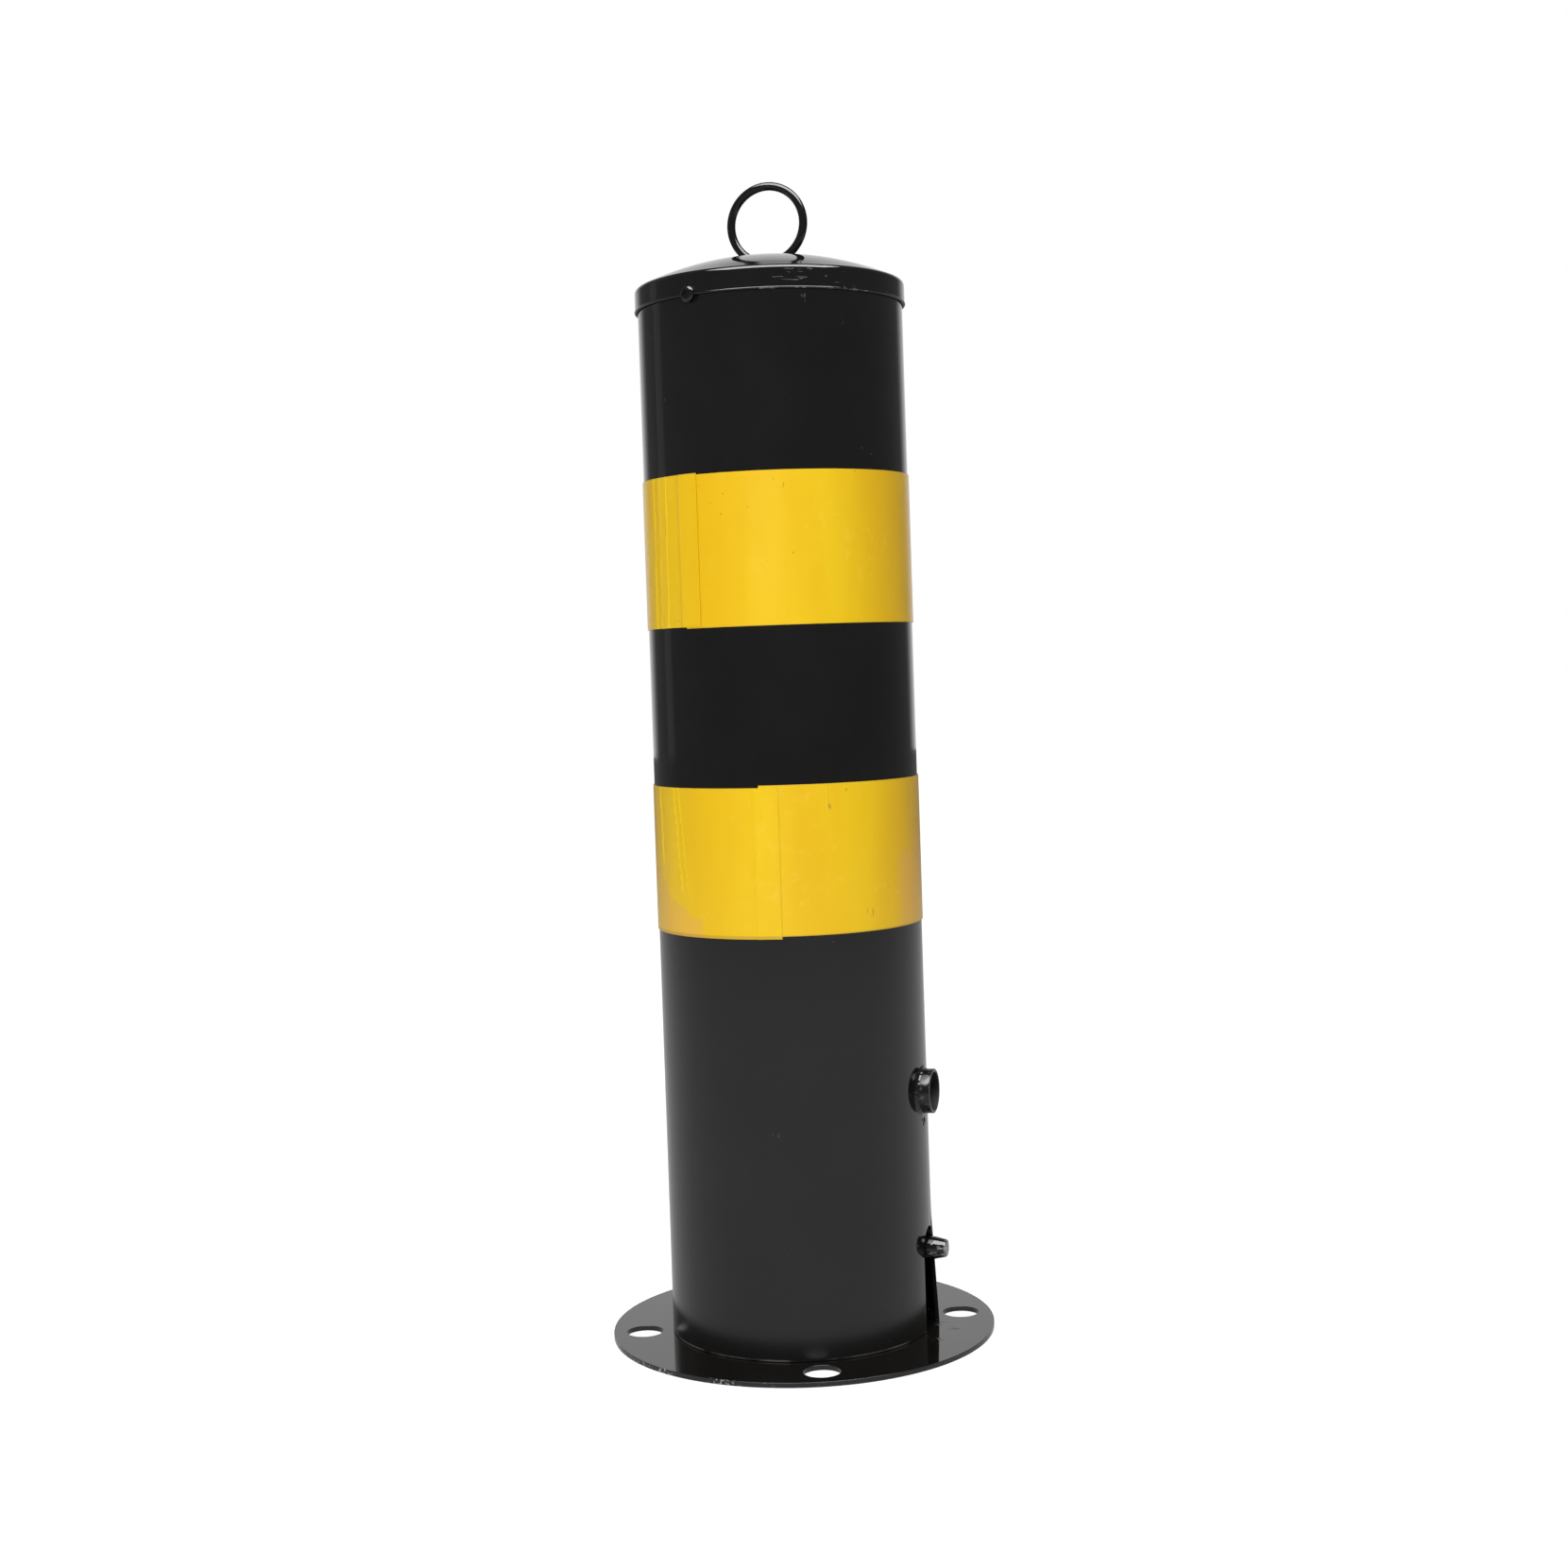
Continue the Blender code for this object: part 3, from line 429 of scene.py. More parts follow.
class Recipe:
    """Builds a material's nodes on Object coordinates, or the world's on directions."""

    def __init__(self, name: str, world: bpy.types.World | None = None) -> None:
        """Start a material with one shader, or take over a world.

        Args:
            name: name of the new material.
            world: the world, if its nodes are built instead.
        """
        self.material = world or bpy.data.materials.new(name)
        self.material.use_nodes = True
        self.nodes = self.material.node_tree.nodes
        self.links = self.material.node_tree.links
        self.shader = self.nodes["Background" if world else "Principled BSDF"]
        places = self.nodes.new("ShaderNodeTexCoord").outputs
        self.where = places["Generated" if world else "Object"]

    def put(self, socket: Socket, value: object) -> None:
        """Link a socket to another one, or set it to a fixed value.

        Args:
            socket: the input to feed.
            value: another node's output, or the fixed value.
        """
        if isinstance(value, Socket):
            self.links.new(value, socket)
        else:
            socket.default_value = value

    def node(self, kind: str, inputs: dict[str | int, object], **options: object) -> bpy.types.Node:
        """Add a node.

        Args:
            kind: Blender's name for it after ShaderNode.
            inputs: values or sockets by the input's name or number.
            options: the node's own options.

        Returns:
            The node.
        """
        node = self.nodes.new("ShaderNode" + kind)
        for option, value in options.items():
            setattr(node, option, value)
        for name, value in inputs.items():
            self.put(node.inputs[name], value)
        return node

    def finish(self, inputs: dict[str, object]) -> Material:
        """Feed the shader and give the finished material.

        Args:
            inputs: values or sockets by the name of the shader's input.

        Returns:
            The material.
        """
        for name, value in inputs.items():
            self.put(self.shader.inputs[name], value)
        return self.material

    def noise(
        self, scale: float, detail: float = 2.0, stretch: Triple = WHITE, distortion: float = 0.0
    ) -> Socket:
        """Cloudy pattern from 0 to 1.

        Args:
            scale: lumps per metre.
            detail: how many finer layers it has.
            stretch: factor on the scale along each axis.
            distortion: how far the pattern is swirled.

        Returns:
            The pattern's value.
        """
        place = self.node("Mapping", {"Vector": self.where, "Scale": stretch}).outputs["Vector"]
        inputs = {"Vector": place, "Scale": scale, "Detail": detail, "Distortion": distortion}
        return self.node("TexNoise", inputs).outputs["Fac"]

    def cells(self, scale: float) -> Socket:
        """Distance to the nearest of many points, with so many to the metre, for specks."""
        return self.node("TexVoronoi", {"Vector": self.where, "Scale": scale}).outputs["Distance"]

    def ramp(self, value: object, start: float, end: float) -> Socket:
        """Smooth step from 0 to 1.

        Args:
            value: what is stepped.
            start: value that gives 0.
            end: value that gives 1, which may lie below start.

        Returns:
            The step's value.
        """
        rising = float(start < end)
        inputs = {
            "Value": value,
            "From Min": min(start, end),
            "From Max": max(start, end),
            "To Min": 1.0 - rising,
            "To Max": rising,
        }
        return self.node("MapRange", inputs, interpolation_type="SMOOTHSTEP").outputs["Result"]

    def patch(self, start: float, end: float, *pattern: object) -> Socket:
        """Cloudy pattern, given as for noise, stepped from 0 at start to 1 at end."""
        return self.ramp(self.noise(*pattern), start, end)

    def span(self, value: object, low: float, high: float) -> Socket:
        """Spread a pattern of 0 to 1 over a range of values."""
        return self.node("MapRange", {"Value": value, "To Min": low, "To Max": high}).outputs["Result"]

    def maths(self, operation: str, first: object, second: object = 0.0) -> Socket:
        """Combine two values by a Math node's operation."""
        return self.node("Math", {0: first, 1: second}, operation=operation).outputs["Value"]

    def times(self, *factors: object) -> Socket:
        """Multiply two or more values.

        Args:
            factors: the values.

        Returns:
            Their product.
        """
        product = factors[0]
        for factor in factors[1:]:
            product = self.maths("MULTIPLY", product, factor)
        return product

    def vectors(self, operation: str, first: object, second: object = (0.0, 0.0, 0.0)) -> bpy.types.Node:
        """Put two vectors through a Vector Math node's operation."""
        return self.node("VectorMath", {0: first, 1: second}, operation=operation)

    def coordinate(self, axis: str) -> Socket:
        """One coordinate of the point that is shaded, in metres."""
        return self.node("SeparateXYZ", {"Vector": self.where}).outputs[axis]

    def from_axis(self) -> Socket:
        """Distance from the post's axis, in metres."""
        flat = self.vectors("MULTIPLY", self.where, FLAT)
        return self.vectors("LENGTH", flat.outputs["Vector"]).outputs["Value"]

    def from_lock_axis(self, height: float) -> Socket:
        """Distance from the lock's axis, in metres.

        Args:
            height: height of the lock's axis.

        Returns:
            The distance.
        """
        aside = self.coordinate("Y")
        above = self.maths("SUBTRACT", self.coordinate("Z"), height)
        squares = self.maths("ADD", self.times(aside, aside), self.times(above, above))
        return self.maths("SQRT", squares)

    def along(self, level: Vector) -> Socket:
        """Cosine between the level part of a direction and a level direction.

        Args:
            level: the level direction.

        Returns:
            The cosine.
        """
        flat = self.vectors("MULTIPLY", self.where, FLAT)
        unit = self.vectors("NORMALIZE", flat.outputs["Vector"])
        return self.vectors("DOT_PRODUCT", unit.outputs["Vector"], level).outputs["Value"]

    def turn(self, middle: float) -> Socket:
        """Angle round the post's axis from a middle angle, in radians.

        Args:
            middle: the angle that counts as 0.

        Returns:
            The angle, from -pi to pi.
        """
        mapping = self.node("Mapping", {"Vector": self.where, "Rotation": (0.0, 0.0, -middle)})
        parts = self.node("SeparateXYZ", {"Vector": mapping.outputs["Vector"]}).outputs
        return self.maths("ARCTAN2", parts["Y"], parts["X"])

    def near(self, place: Vector, reach: float, soft: float = 0.5) -> Socket:
        """Mask of 1 at a place, gone at its reach, with the soft share of it fading."""
        distance = self.vectors("DISTANCE", self.where, place).outputs["Value"]
        return self.ramp(distance, reach, reach * (1.0 - soft))

    def marks(self, places: Spots, soft: float, *patch: object) -> object:
        """Mask of small marks, a stepped pattern that shows only near each place.

        Args:
            places: place and reach of each mark.
            soft: share of the reach over which it fades.
            patch: the stepped pattern, given as for patch.

        Returns:
            The mask, 0 if there are no marks.
        """
        found: object = 0.0
        for place, reach in places:
            one = self.times(self.near(place, reach, soft), self.patch(*patch))
            found = self.maths("MAXIMUM", found, one)
        return found

    def mix(self, factor: object, first: object, second: object) -> Socket:
        """Mix two colours by a factor."""
        first, second = ((*side, 1.0) if isinstance(side, tuple) else side for side in (first, second))
        return self.node("Mix", {0: factor, 6: first, 7: second}, data_type="RGBA").outputs[2]

    def blend(self, factor: object, first: object, second: object) -> Socket:
        """Mix two values by a factor."""
        return self.node("Mix", {0: factor, 2: first, 3: second}).outputs[0]

    def bump(self, height: object, distance: float, under: Socket | None = None) -> Socket:
        """Bump a surface by a pattern.

        Args:
            height: the pattern.
            distance: height in metres that a value of 1 stands for.
            under: normal of a bump below this one.

        Returns:
            The bumped normal.
        """
        inputs = {"Strength": 1.0, "Distance": distance, "Height": height}
        if under is not None:
            inputs["Normal"] = under
        return self.node("Bump", inputs).outputs["Normal"]

    def mirrored(self) -> tuple[Socket, Socket]:
        """Tell rays from the camera, and rays that gloss or glass sends out."""
        rays = self.nodes.new("ShaderNodeLightPath").outputs
        gloss = self.maths("MAXIMUM", rays["Is Glossy Ray"], rays["Is Transmission Ray"])
        return rays["Is Camera Ray"], gloss


@dataclass
class Coat:
    """Colour, roughness and normal of a finish in work."""

    recipe: Recipe
    colour: object
    roughness: object
    normal: Socket

    def stain(self, mask: object, colour: Triple, roughness: float) -> None:
        """Lay another colour and roughness over the finish where a mask is 1."""
        self.colour = self.recipe.mix(mask, self.colour, colour)
        self.roughness = self.recipe.blend(mask, self.roughness, roughness)

    def bump(self, height: object, distance: float) -> None:
        """Bump the finish further by a pattern."""
        self.normal = self.recipe.bump(height, distance, self.normal)

    def material(self) -> Material:
        """Feed the shader and give the finished material."""
        return self.recipe.finish(
            {"Base Color": self.colour, "Roughness": self.roughness, "Normal": self.normal}
        )


@dataclass(frozen=True)
class Enamel:
    """Gloss black enamel over steel."""

    name: str
    colour: Triple = (0.0058, 0.0058, 0.0060)
    dust: Triple = (0.045, 0.043, 0.040)
    # pale of chips and scratches; on the cap's hem it is also a painted highlight
    chip_and_highlight: Triple = (0.42, 0.42, 0.43)
    haze: float = 1.35          # how much paler its cloudy patches are
    gloss: float = 0.055
    peel: float = 0.000004

    def material(self) -> Material:
        """Build the enamel with its orange peel, specks and wear.

        Returns:
            The material.
        """
        recipe = Recipe(self.name)
        hazy = tuple(channel * self.haze for channel in self.colour)
        coat = Coat(
            recipe,
            recipe.mix(recipe.patch(0.35, 0.8, 26.0, 4.0), self.colour, hazy),
            recipe.span(recipe.noise(60.0, 3.0), self.gloss * 0.8, self.gloss * 1.3),
            recipe.bump(recipe.noise(420.0, 1.0), self.peel),
        )
        coat.bump(recipe.noise(38.0, 1.0), self.peel * 4.0)
        self.wear(coat)
        specks = recipe.ramp(recipe.cells(190.0), 0.085, 0.05)
        coat.stain(recipe.times(specks, recipe.patch(0.62, 0.70, 31.0)), self.dust, 0.5)
        return coat.material()

    def wear(self, coat: Coat) -> None:
        """Leave plain enamel as it is."""


@dataclass(frozen=True)
class PlateEnamel(Enamel):
    """Enamel of the flange, chipped along its rim and scratched beside the lock's side."""

    colour: Triple = (0.0095, 0.0095, 0.0098)
    scratch: Triple = (0.10, 0.10, 0.10)
    marks: Spots = ()
    rim: float = 0.08
    chipped: Vector = Vector((0.0, 0.0, 0.0))

    def wear(self, coat: Coat) -> None:
        """Chip the rim, most of all at one place, and scratch the plate.

        Args:
            coat: the finish in work.
        """
        recipe = coat.recipe
        chips = recipe.times(
            recipe.ramp(recipe.from_axis(), self.rim - 0.0009, self.rim - 0.0002),
            recipe.patch(0.49, 0.56, 75.0, 3.0),
            recipe.blend(recipe.near(self.chipped, 0.060, 0.6), 0.05, 0.70),
            recipe.patch(0.53, 0.62, 900.0, 3.0),
        )
        scratches = recipe.marks(self.marks, 0.5, 0.56, 0.62, 520.0, 2.0, (0.35, 1.0, 1.0), 0.6)
        coat.stain(chips, self.chip_and_highlight, 0.45)
        coat.stain(scratches, self.scratch, 0.5)
        coat.bump(recipe.maths("ADD", chips, scratches), -0.00006)


@dataclass(frozen=True)
class SkirtEnamel(Enamel):
    """Enamel of the cap, scratched on its skirt, its hem chipped pale as wear and as painted highlight."""

    hem: float = 0.0
    scratched: Vector = Vector((0.0, 0.0, 0.0))
    stained: Vector = Vector((0.0, 0.0, 0.0))
    rust: Triple = (0.045, 0.020, 0.014)

    def wear(self, coat: Coat) -> None:
        """Scratch the skirt, chip its hem pale as wear and as painted highlight, and stain it.

        Args:
            coat: the finish in work.
        """
        recipe = coat.recipe
        height = recipe.coordinate("Z")
        lines = recipe.times(
            recipe.patch(0.665, 0.69, 95.0, 2.0, (1.0, 1.0, 12.0), 1.0),
            recipe.near(self.scratched, 0.024, 0.8),
        )
        # Painted highlight: a pale chipped line along the hem near the scratches, which also stands for
        # wear.
        worn_and_highlight = recipe.times(
            recipe.ramp(height, self.hem + 0.0007, self.hem + 0.0002),
            recipe.patch(0.54, 0.60, 120.0, 3.0),
            recipe.near(self.scratched, 0.045, 0.6),
        )
        rusty = recipe.times(
            recipe.near(self.stained, 0.013, 0.9),
            recipe.patch(0.50, 0.66, 380.0, 3.0),
            recipe.ramp(height, self.hem + 0.003, self.hem),
        )
        coat.stain(recipe.times(lines, 0.16), self.chip_and_highlight, 0.35)
        coat.stain(recipe.times(worn_and_highlight, 0.30), self.chip_and_highlight, 0.35)
        coat.stain(recipe.times(rusty, 0.8), self.rust, 0.5)
        coat.bump(lines, -0.00003)


@dataclass(frozen=True)
class TubeEnamel(Enamel):
    """Enamel of the post, with faint runs, dull and rubbed at its foot."""

    foot: float = 0.0023
    marks: Spots = ()
    rubbed: Triple = (0.085, 0.083, 0.080)
    nicked: Triple = (0.050, 0.049, 0.047)

    def wear(self, coat: Coat) -> None:
        """Dull the foot, rub its edge bare in places and add a few small marks.

        Args:
            coat: the finish in work.
        """
        recipe = coat.recipe
        height = recipe.coordinate("Z")
        runs = recipe.patch(0.45, 0.75, 30.0, 2.0, (6.0, 6.0, 0.35))
        coat.roughness = recipe.maths("ADD", coat.roughness, recipe.times(runs, 0.03))
        coat.roughness = recipe.blend(recipe.ramp(height, 0.040, 0.008), coat.roughness, 0.24)
        bare = recipe.ramp(height, self.foot + 0.0008, self.foot + 0.0003)
        coat.stain(recipe.times(bare, recipe.patch(0.40, 0.62, 70.0, 3.0)), self.rubbed, 0.4)
        nicks = recipe.marks(self.marks, 0.5, 0.55, 0.62, 700.0, 2.0, (1.0, 1.0, 0.5))
        coat.stain(nicks, self.nicked, 0.4)
        coat.bump(nicks, -0.00003)


@dataclass(frozen=True)
class WeldEnamel(Enamel):
    """Enamel over weld, sagged into its hollows and thin on its crests, which are painted lighter as thin
    enamel and as painted highlight.
    """

    lumps: float = 330.0
    depth: float = 0.00012
    crest_and_highlight: Triple = (0.040, 0.039, 0.038)
    painted_bore_shade: Triple = (0.0022, 0.0022, 0.0022)
    axis_height: float = 0.0
    shaded_bore: float = 0.0

    def wear(self, coat: Coat) -> None:
        """Bump the weld, paint its crests lighter and paint shade inside its tube, matt and darker.

        Args:
            coat: the finish in work.
        """
        recipe = coat.recipe
        lumps = recipe.noise(self.lumps, 3.0)
        coat.bump(lumps, self.depth)
        coat.bump(recipe.noise(1700.0), self.depth * 0.15)
        coat.roughness = recipe.span(recipe.noise(200.0), 0.10, 0.26)
        # Crests painted lighter: thin enamel and painted highlight.
        coat.stain(recipe.ramp(lumps, 0.58, 0.72), self.crest_and_highlight, 0.35)
        # Painted shade: the inside of the lock's tube is coloured darker and matt.
        if self.shaded_bore > 0.0:
            out = recipe.from_lock_axis(self.axis_height)
            coat.stain(recipe.ramp(out, self.shaded_bore + 0.0003, self.shaded_bore), self.painted_bore_shade, 0.75)


@dataclass(frozen=True)
class PinEnamel(Enamel):
    """Enamel of the locating pin, rubbed to bare steel at its end and streaked pale along its middle as
    rubbed steel and painted highlight.
    """

    steel: Triple = (0.36, 0.36, 0.365)
    tip: float = 0.0
    middle: float = 0.0

    def wear(self, coat: Coat) -> None:
        """Streak the pin pale along its middle, as rubbed steel and painted highlight, and rub the edge of
        its end.

        Args:
            coat: the finish in work.
        """
        recipe = coat.recipe
        height = recipe.coordinate("Z")
        streaks = recipe.noise(480.0, 3.0, (0.30, 1.0, 1.0))
        # Painted highlight: a pale band of streaks along the pin's middle height, which also stands for
        # rubbed steel.
        side = recipe.times(
            recipe.ramp(height, self.middle - 0.0036, self.middle - 0.0024),
            recipe.ramp(height, self.middle + 0.0026, self.middle + 0.0014),
            recipe.ramp(streaks, 0.50, 0.64),
        )
        end = recipe.times(
            recipe.ramp(recipe.from_axis(), self.tip - 0.0010, self.tip - 0.0003),
            recipe.patch(0.35, 0.6, 400.0),
        )
        coat.stain(recipe.times(side, 0.85), self.steel, 0.30)
        coat.stain(recipe.times(end, 0.8), self.steel, 0.4)
        coat.bump(streaks, 0.00008)


@dataclass(frozen=True)
class Veil:
    """Stretch of film that has lifted a little, painted pale as lifted film and as painted reflection of
    the floor.
    """

    first: float        # degrees round the post
    last: float
    top: float          # height of its upper edge at first and at last
    end_top: float
    fades: Ring         # radians over which it comes and goes


@dataclass(frozen=True)
class Film:
    """Yellow reflective film with a clear top layer."""

    name: str
    low: float
    high: float
    veils: tuple[Veil, ...] = ()
    marks: Spots = ()
    colour: Triple = (0.822, 0.558, 0.005)
    deep: Triple = (0.780, 0.488, 0.004)
    bright: Triple = (0.900, 0.610, 0.050)
    # colour of the painted glints
    pale: Triple = (0.800, 0.465, 0.065)
    soil: Triple = (0.380, 0.250, 0.040)
    hem: float = 0.0006         # width of the soiled line along its cut edges
    spread: float = 0.0035      # how far a veil's upper edge wanders up and down
    lifted_and_reflection: float = 0.65        # how strongly a veil shows

    def veil(self, recipe: Recipe, place: Veil) -> Socket:
        """Mask of one veil, its upper edge in upright jags.

        Args:
            recipe: the material in work.
            place: where the veil is.

        Returns:
            The mask.
        """
        turn = recipe.turn(math.radians((place.first + place.last) / 2))
        half = math.radians((place.last - place.first) / 2)
        slope = (place.end_top - place.top) / (2.0 * half)
        middle = (place.top + place.end_top) / 2
        jags = recipe.noise(260.0, 2.0, (1.0, 1.0, 0.04))
        rough = recipe.times(recipe.maths("SUBTRACT", jags, 0.5), 4.0 * self.spread)
        line = recipe.maths("ADD", recipe.times(turn, slope), rough)
        above = recipe.maths("SUBTRACT", recipe.coordinate("Z"), line)
        return recipe.times(
            recipe.ramp(turn, -half, -half + place.fades[0]),
            recipe.ramp(turn, half, half - place.fades[1]),
            recipe.ramp(above, middle + 0.0005, middle - 0.0005),
        )

    def material(self) -> Material:
        """Build the film with its streaks, specks, painted glints and pale patches of lifted film with
        painted reflection.

        Returns:
            The material.
        """
        recipe = Recipe(self.name)
        streaks = recipe.noise(42.0, 3.0, (1.0, 1.0, 0.16))
        colour = recipe.mix(recipe.ramp(streaks, 0.30, 0.75), self.deep, self.colour)
        glint_mottle = recipe.times(recipe.patch(0.50, 0.80, 230.0, 4.0), recipe.patch(0.45, 0.65, 35.0), 0.45)
        # Painted glints: small pale specks of highlight over the film.
        colour = recipe.mix(glint_mottle, colour, self.bright)
        # Painted reflection: lifted stretches are painted pale where they mirror the floor.
        for place in self.veils:
            colour = recipe.mix(recipe.times(self.veil(recipe, place), self.lifted_and_reflection), colour, self.pale)
        specks = recipe.times(recipe.ramp(recipe.cells(230.0), 0.10, 0.05), recipe.patch(0.60, 0.66, 45.0))
        scratches = recipe.marks(self.marks, 0.4, 0.56, 0.62, 800.0, 2.0, (1.0, 1.0, 0.3), 0.5)
        colour = recipe.mix(recipe.maths("MAXIMUM", specks, scratches), colour, self.soil)
        height = recipe.coordinate("Z")
        edge = recipe.maths(
            "MAXIMUM",
            recipe.ramp(height, self.low + self.hem, self.low),
            recipe.ramp(height, self.high - self.hem, self.high),
        )
        normal = recipe.bump(recipe.noise(520.0), 0.000010)
        normal = recipe.bump(recipe.noise(55.0, 2.0, (1.0, 1.0, 0.3)), 0.00002, normal)
        return recipe.finish(
            {
                "Base Color": recipe.mix(recipe.times(edge, 0.5), colour, self.soil),
                "Roughness": recipe.span(streaks, 0.34, 0.40),
                "Normal": normal,
                "Specular IOR Level": 0.25,
                "Coat Weight": 0.45,
                "Coat Roughness": 0.05,
            }
        )


@dataclass(frozen=True)
class Machined:
    """Turned or drawn metal with fine tool lines."""

    name: str
    colour: Triple
    dark: Triple
    roughness: float = 0.30
    lines: Triple = (60.0, 1.0, 1.0)

    def material(self) -> Material:
        """Build the metal.

        Returns:
            The material.
        """
        recipe = Recipe(self.name)
        tool = recipe.noise(90.0, 3.0, self.lines)
        return recipe.finish(
            {
                "Base Color": recipe.mix(recipe.patch(0.45, 0.75, 140.0, 4.0), self.colour, self.dark),
                "Roughness": recipe.span(tool, self.roughness * 0.75, self.roughness * 1.4),
                "Normal": recipe.bump(tool, 0.00002),
                "Metallic": 1.0,
            }
        )


Finish = Enamel | Film | Machined


def dress(
    piece: Piece,
    finish: Finish,
    *nodes: str,
    slot: Slot = Slot.ENAMEL,
    body: Body = Body.POST,
) -> None:
    """Give a finished piece its material and its body, and hide the CAD nodes that it stands for.

    Args:
        piece: the finished piece.
        finish: its finish.
        nodes: CAD nodes that it replaces.
        slot: the record's material slot; not used.
        body: the body that it rides on.
    """
    piece.data.materials.clear()
    piece.data.materials.append(finish.material())
    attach(piece, body.value)
    if nodes:
        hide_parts(*nodes)
    LOG.info("%s: %d faces, rides on %s", piece.name, len(piece.data.polygons), body.value)


# Sub-assemblies


@dataclass
class Flange:
    """Round base plate with its anchor holes."""

    node: str = "base_flange"
    hole_diameter: float = 0.015
    hole_circle: float = 0.134
    hole_turn: float = math.radians(23.5)
    holes: int = 4
    edge: float = 0.00045
    around: int = 288
    chip_turn: float = math.radians(243.0)
    marks: tuple[Triple, ...] = (   # radius, degrees round the post and reach
        (0.0586, 8.7, 0.0045),
        (0.0640, 3.0, 0.0040),
        (0.0646, 347.8, 0.0050),
    )

    def __post_init__(self) -> None:
        """Take the plate's radius and thickness from the frame."""
        self.radius = node_span(self.node, 0)[1]
        self.top = node_span(self.node, 2)[1]

    def build(self) -> None:
        """Turn the plate, drill it and round its edges."""
        rings = [(self.radius, 0.0), (self.radius, self.top)]
        plate = lathe("flange_plate", rings, self.around, Side.SOLID)
        for index in range(self.holes):
            turn = self.hole_turn + index * math.tau / self.holes
            drill = rod(self.hole_diameter / 2, -REACH, REACH)
            carve(plate, settle(drill, turn_z(turn) @ shift(self.hole_circle / 2, 0.0, 0.0)))
        round_edges(plate, self.edge, 3)
        smooth(plate, weighted=True)
        marks = tuple(
            (around_post(radius, math.radians(turn), self.top), reach)
            for radius, turn, reach in self.marks
        )
        chipped = around_post(self.radius, self.chip_turn, self.top)
        finish = PlateEnamel("flange_enamel", marks=marks, rim=self.radius, chipped=chipped)
        dress(plate, finish, self.node, body=Body.BASE)


@dataclass
class Spigot:
    """Inner tube of the base, its welded lug and the locating pin."""

    wall: float = 0.002
    lead: float = 0.001
    edge: float = 0.0002
    around: int = 192
    weld_leg: float = 0.003
    lug_edge: float = 0.0003
    pin_turn: float = math.radians(1.0)
    pin_shank: float = 0.0046
    pin_tip: float = 0.00365
    pin_taper: float = 0.0052
    pin_round: float = 0.0007
    pin_weld: float = 1.6       # the weld's radius over the shank's
    pin_weld_depth: float = 0.002
    pin_skin: Ring = (0.00012, 0.0022)      # depth and grain of its hammered skin

    def __post_init__(self) -> None:
        """Take the tube's and the pin's sizes from the frame."""
        self.radius = node_span("base_spigot", 0)[1]
        self.foot, self.top = node_span("base_spigot", 2)
        self.bore = self.radius - self.wall
        self.pin_height = node_middle("locating_pin", 2)
        reach = node_span("locating_pin", 0)[1]
        self.pin_end = reach / math.cos(self.pin_turn) - self.pin_tip * math.tan(self.pin_turn)

    def build_tube(self) -> None:
        """Turn the spigot with the weld inside its foot."""
        inner = self.bore - self.weld_leg
        rings = [
            (inner, self.foot),
            (self.radius, self.foot),
            (self.radius, self.top - self.lead),
            (self.radius - self.lead, self.top),
            (self.bore, self.top),
        ]
        rings += arc_rings((inner, self.foot + self.weld_leg), self.weld_leg, 0.0, -90.0, 6)[:-1]
        tube = lathe("spigot_tube", rings, self.around, Side.HOLLOW)
        round_edges(tube, self.edge, 2)
        smooth(tube, weighted=True)
        dress(tube, Enamel("spigot_enamel"), "base_spigot", body=Body.BASE)

    def build_pin(self) -> None:
        """Turn the pin with its taper and hammered end, and its weld inside the spigot."""
        shank = self.pin_shank
        weld = shank * self.pin_weld
        face = math.sqrt(self.bore ** 2 - weld ** 2) - 0.0003
        taper = self.pin_end - self.pin_taper
        curve = self.pin_end - self.pin_round
        rings = [(shank * 0.6, face - self.pin_weld_depth), (weld, face)]
        rings += even_rings((shank, face), (shank, taper), 24)
        rings += even_rings((shank, taper), (self.pin_tip, curve), 12)[1:]
        rings += arc_rings((self.pin_tip - self.pin_round, curve), self.pin_round, 0.0, 90.0, 5)[1:]
        rings.append((self.pin_tip * 0.5, self.pin_end))
        pin = lathe("pin_bar", rings, 72, Side.SOLID)
        roughen(pin, *self.pin_skin)
        settle(pin, side_axis(self.pin_turn, self.pin_height))
        smooth(pin, 50.0)
        finish = PinEnamel("pin_enamel", tip=self.pin_end, middle=self.pin_height)
        dress(pin, finish, "locating_pin", body=Body.BASE)

    def build_lug(self) -> None:
        """Round the lug's edges over a merged copy of its solid."""
        lug = bpy.data.objects.new("lug_bar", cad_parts["lock_lug"].data.copy())
        bpy.context.scene.collection.objects.link(lug)
        with editing(lug):
            bpy.ops.mesh.remove_doubles(threshold=MERGE)
            bpy.ops.mesh.dissolve_limited(angle_limit=math.radians(1.0))
        round_edges(lug, self.lug_edge, 2)
        smooth(lug, weighted=True)
        dress(lug, Enamel("lug_enamel"), "lock_lug", body=Body.BASE)

    def build(self) -> None:
        """Build the spigot, its pin and its lug."""
        self.build_tube()
        self.build_pin()
        self.build_lug()


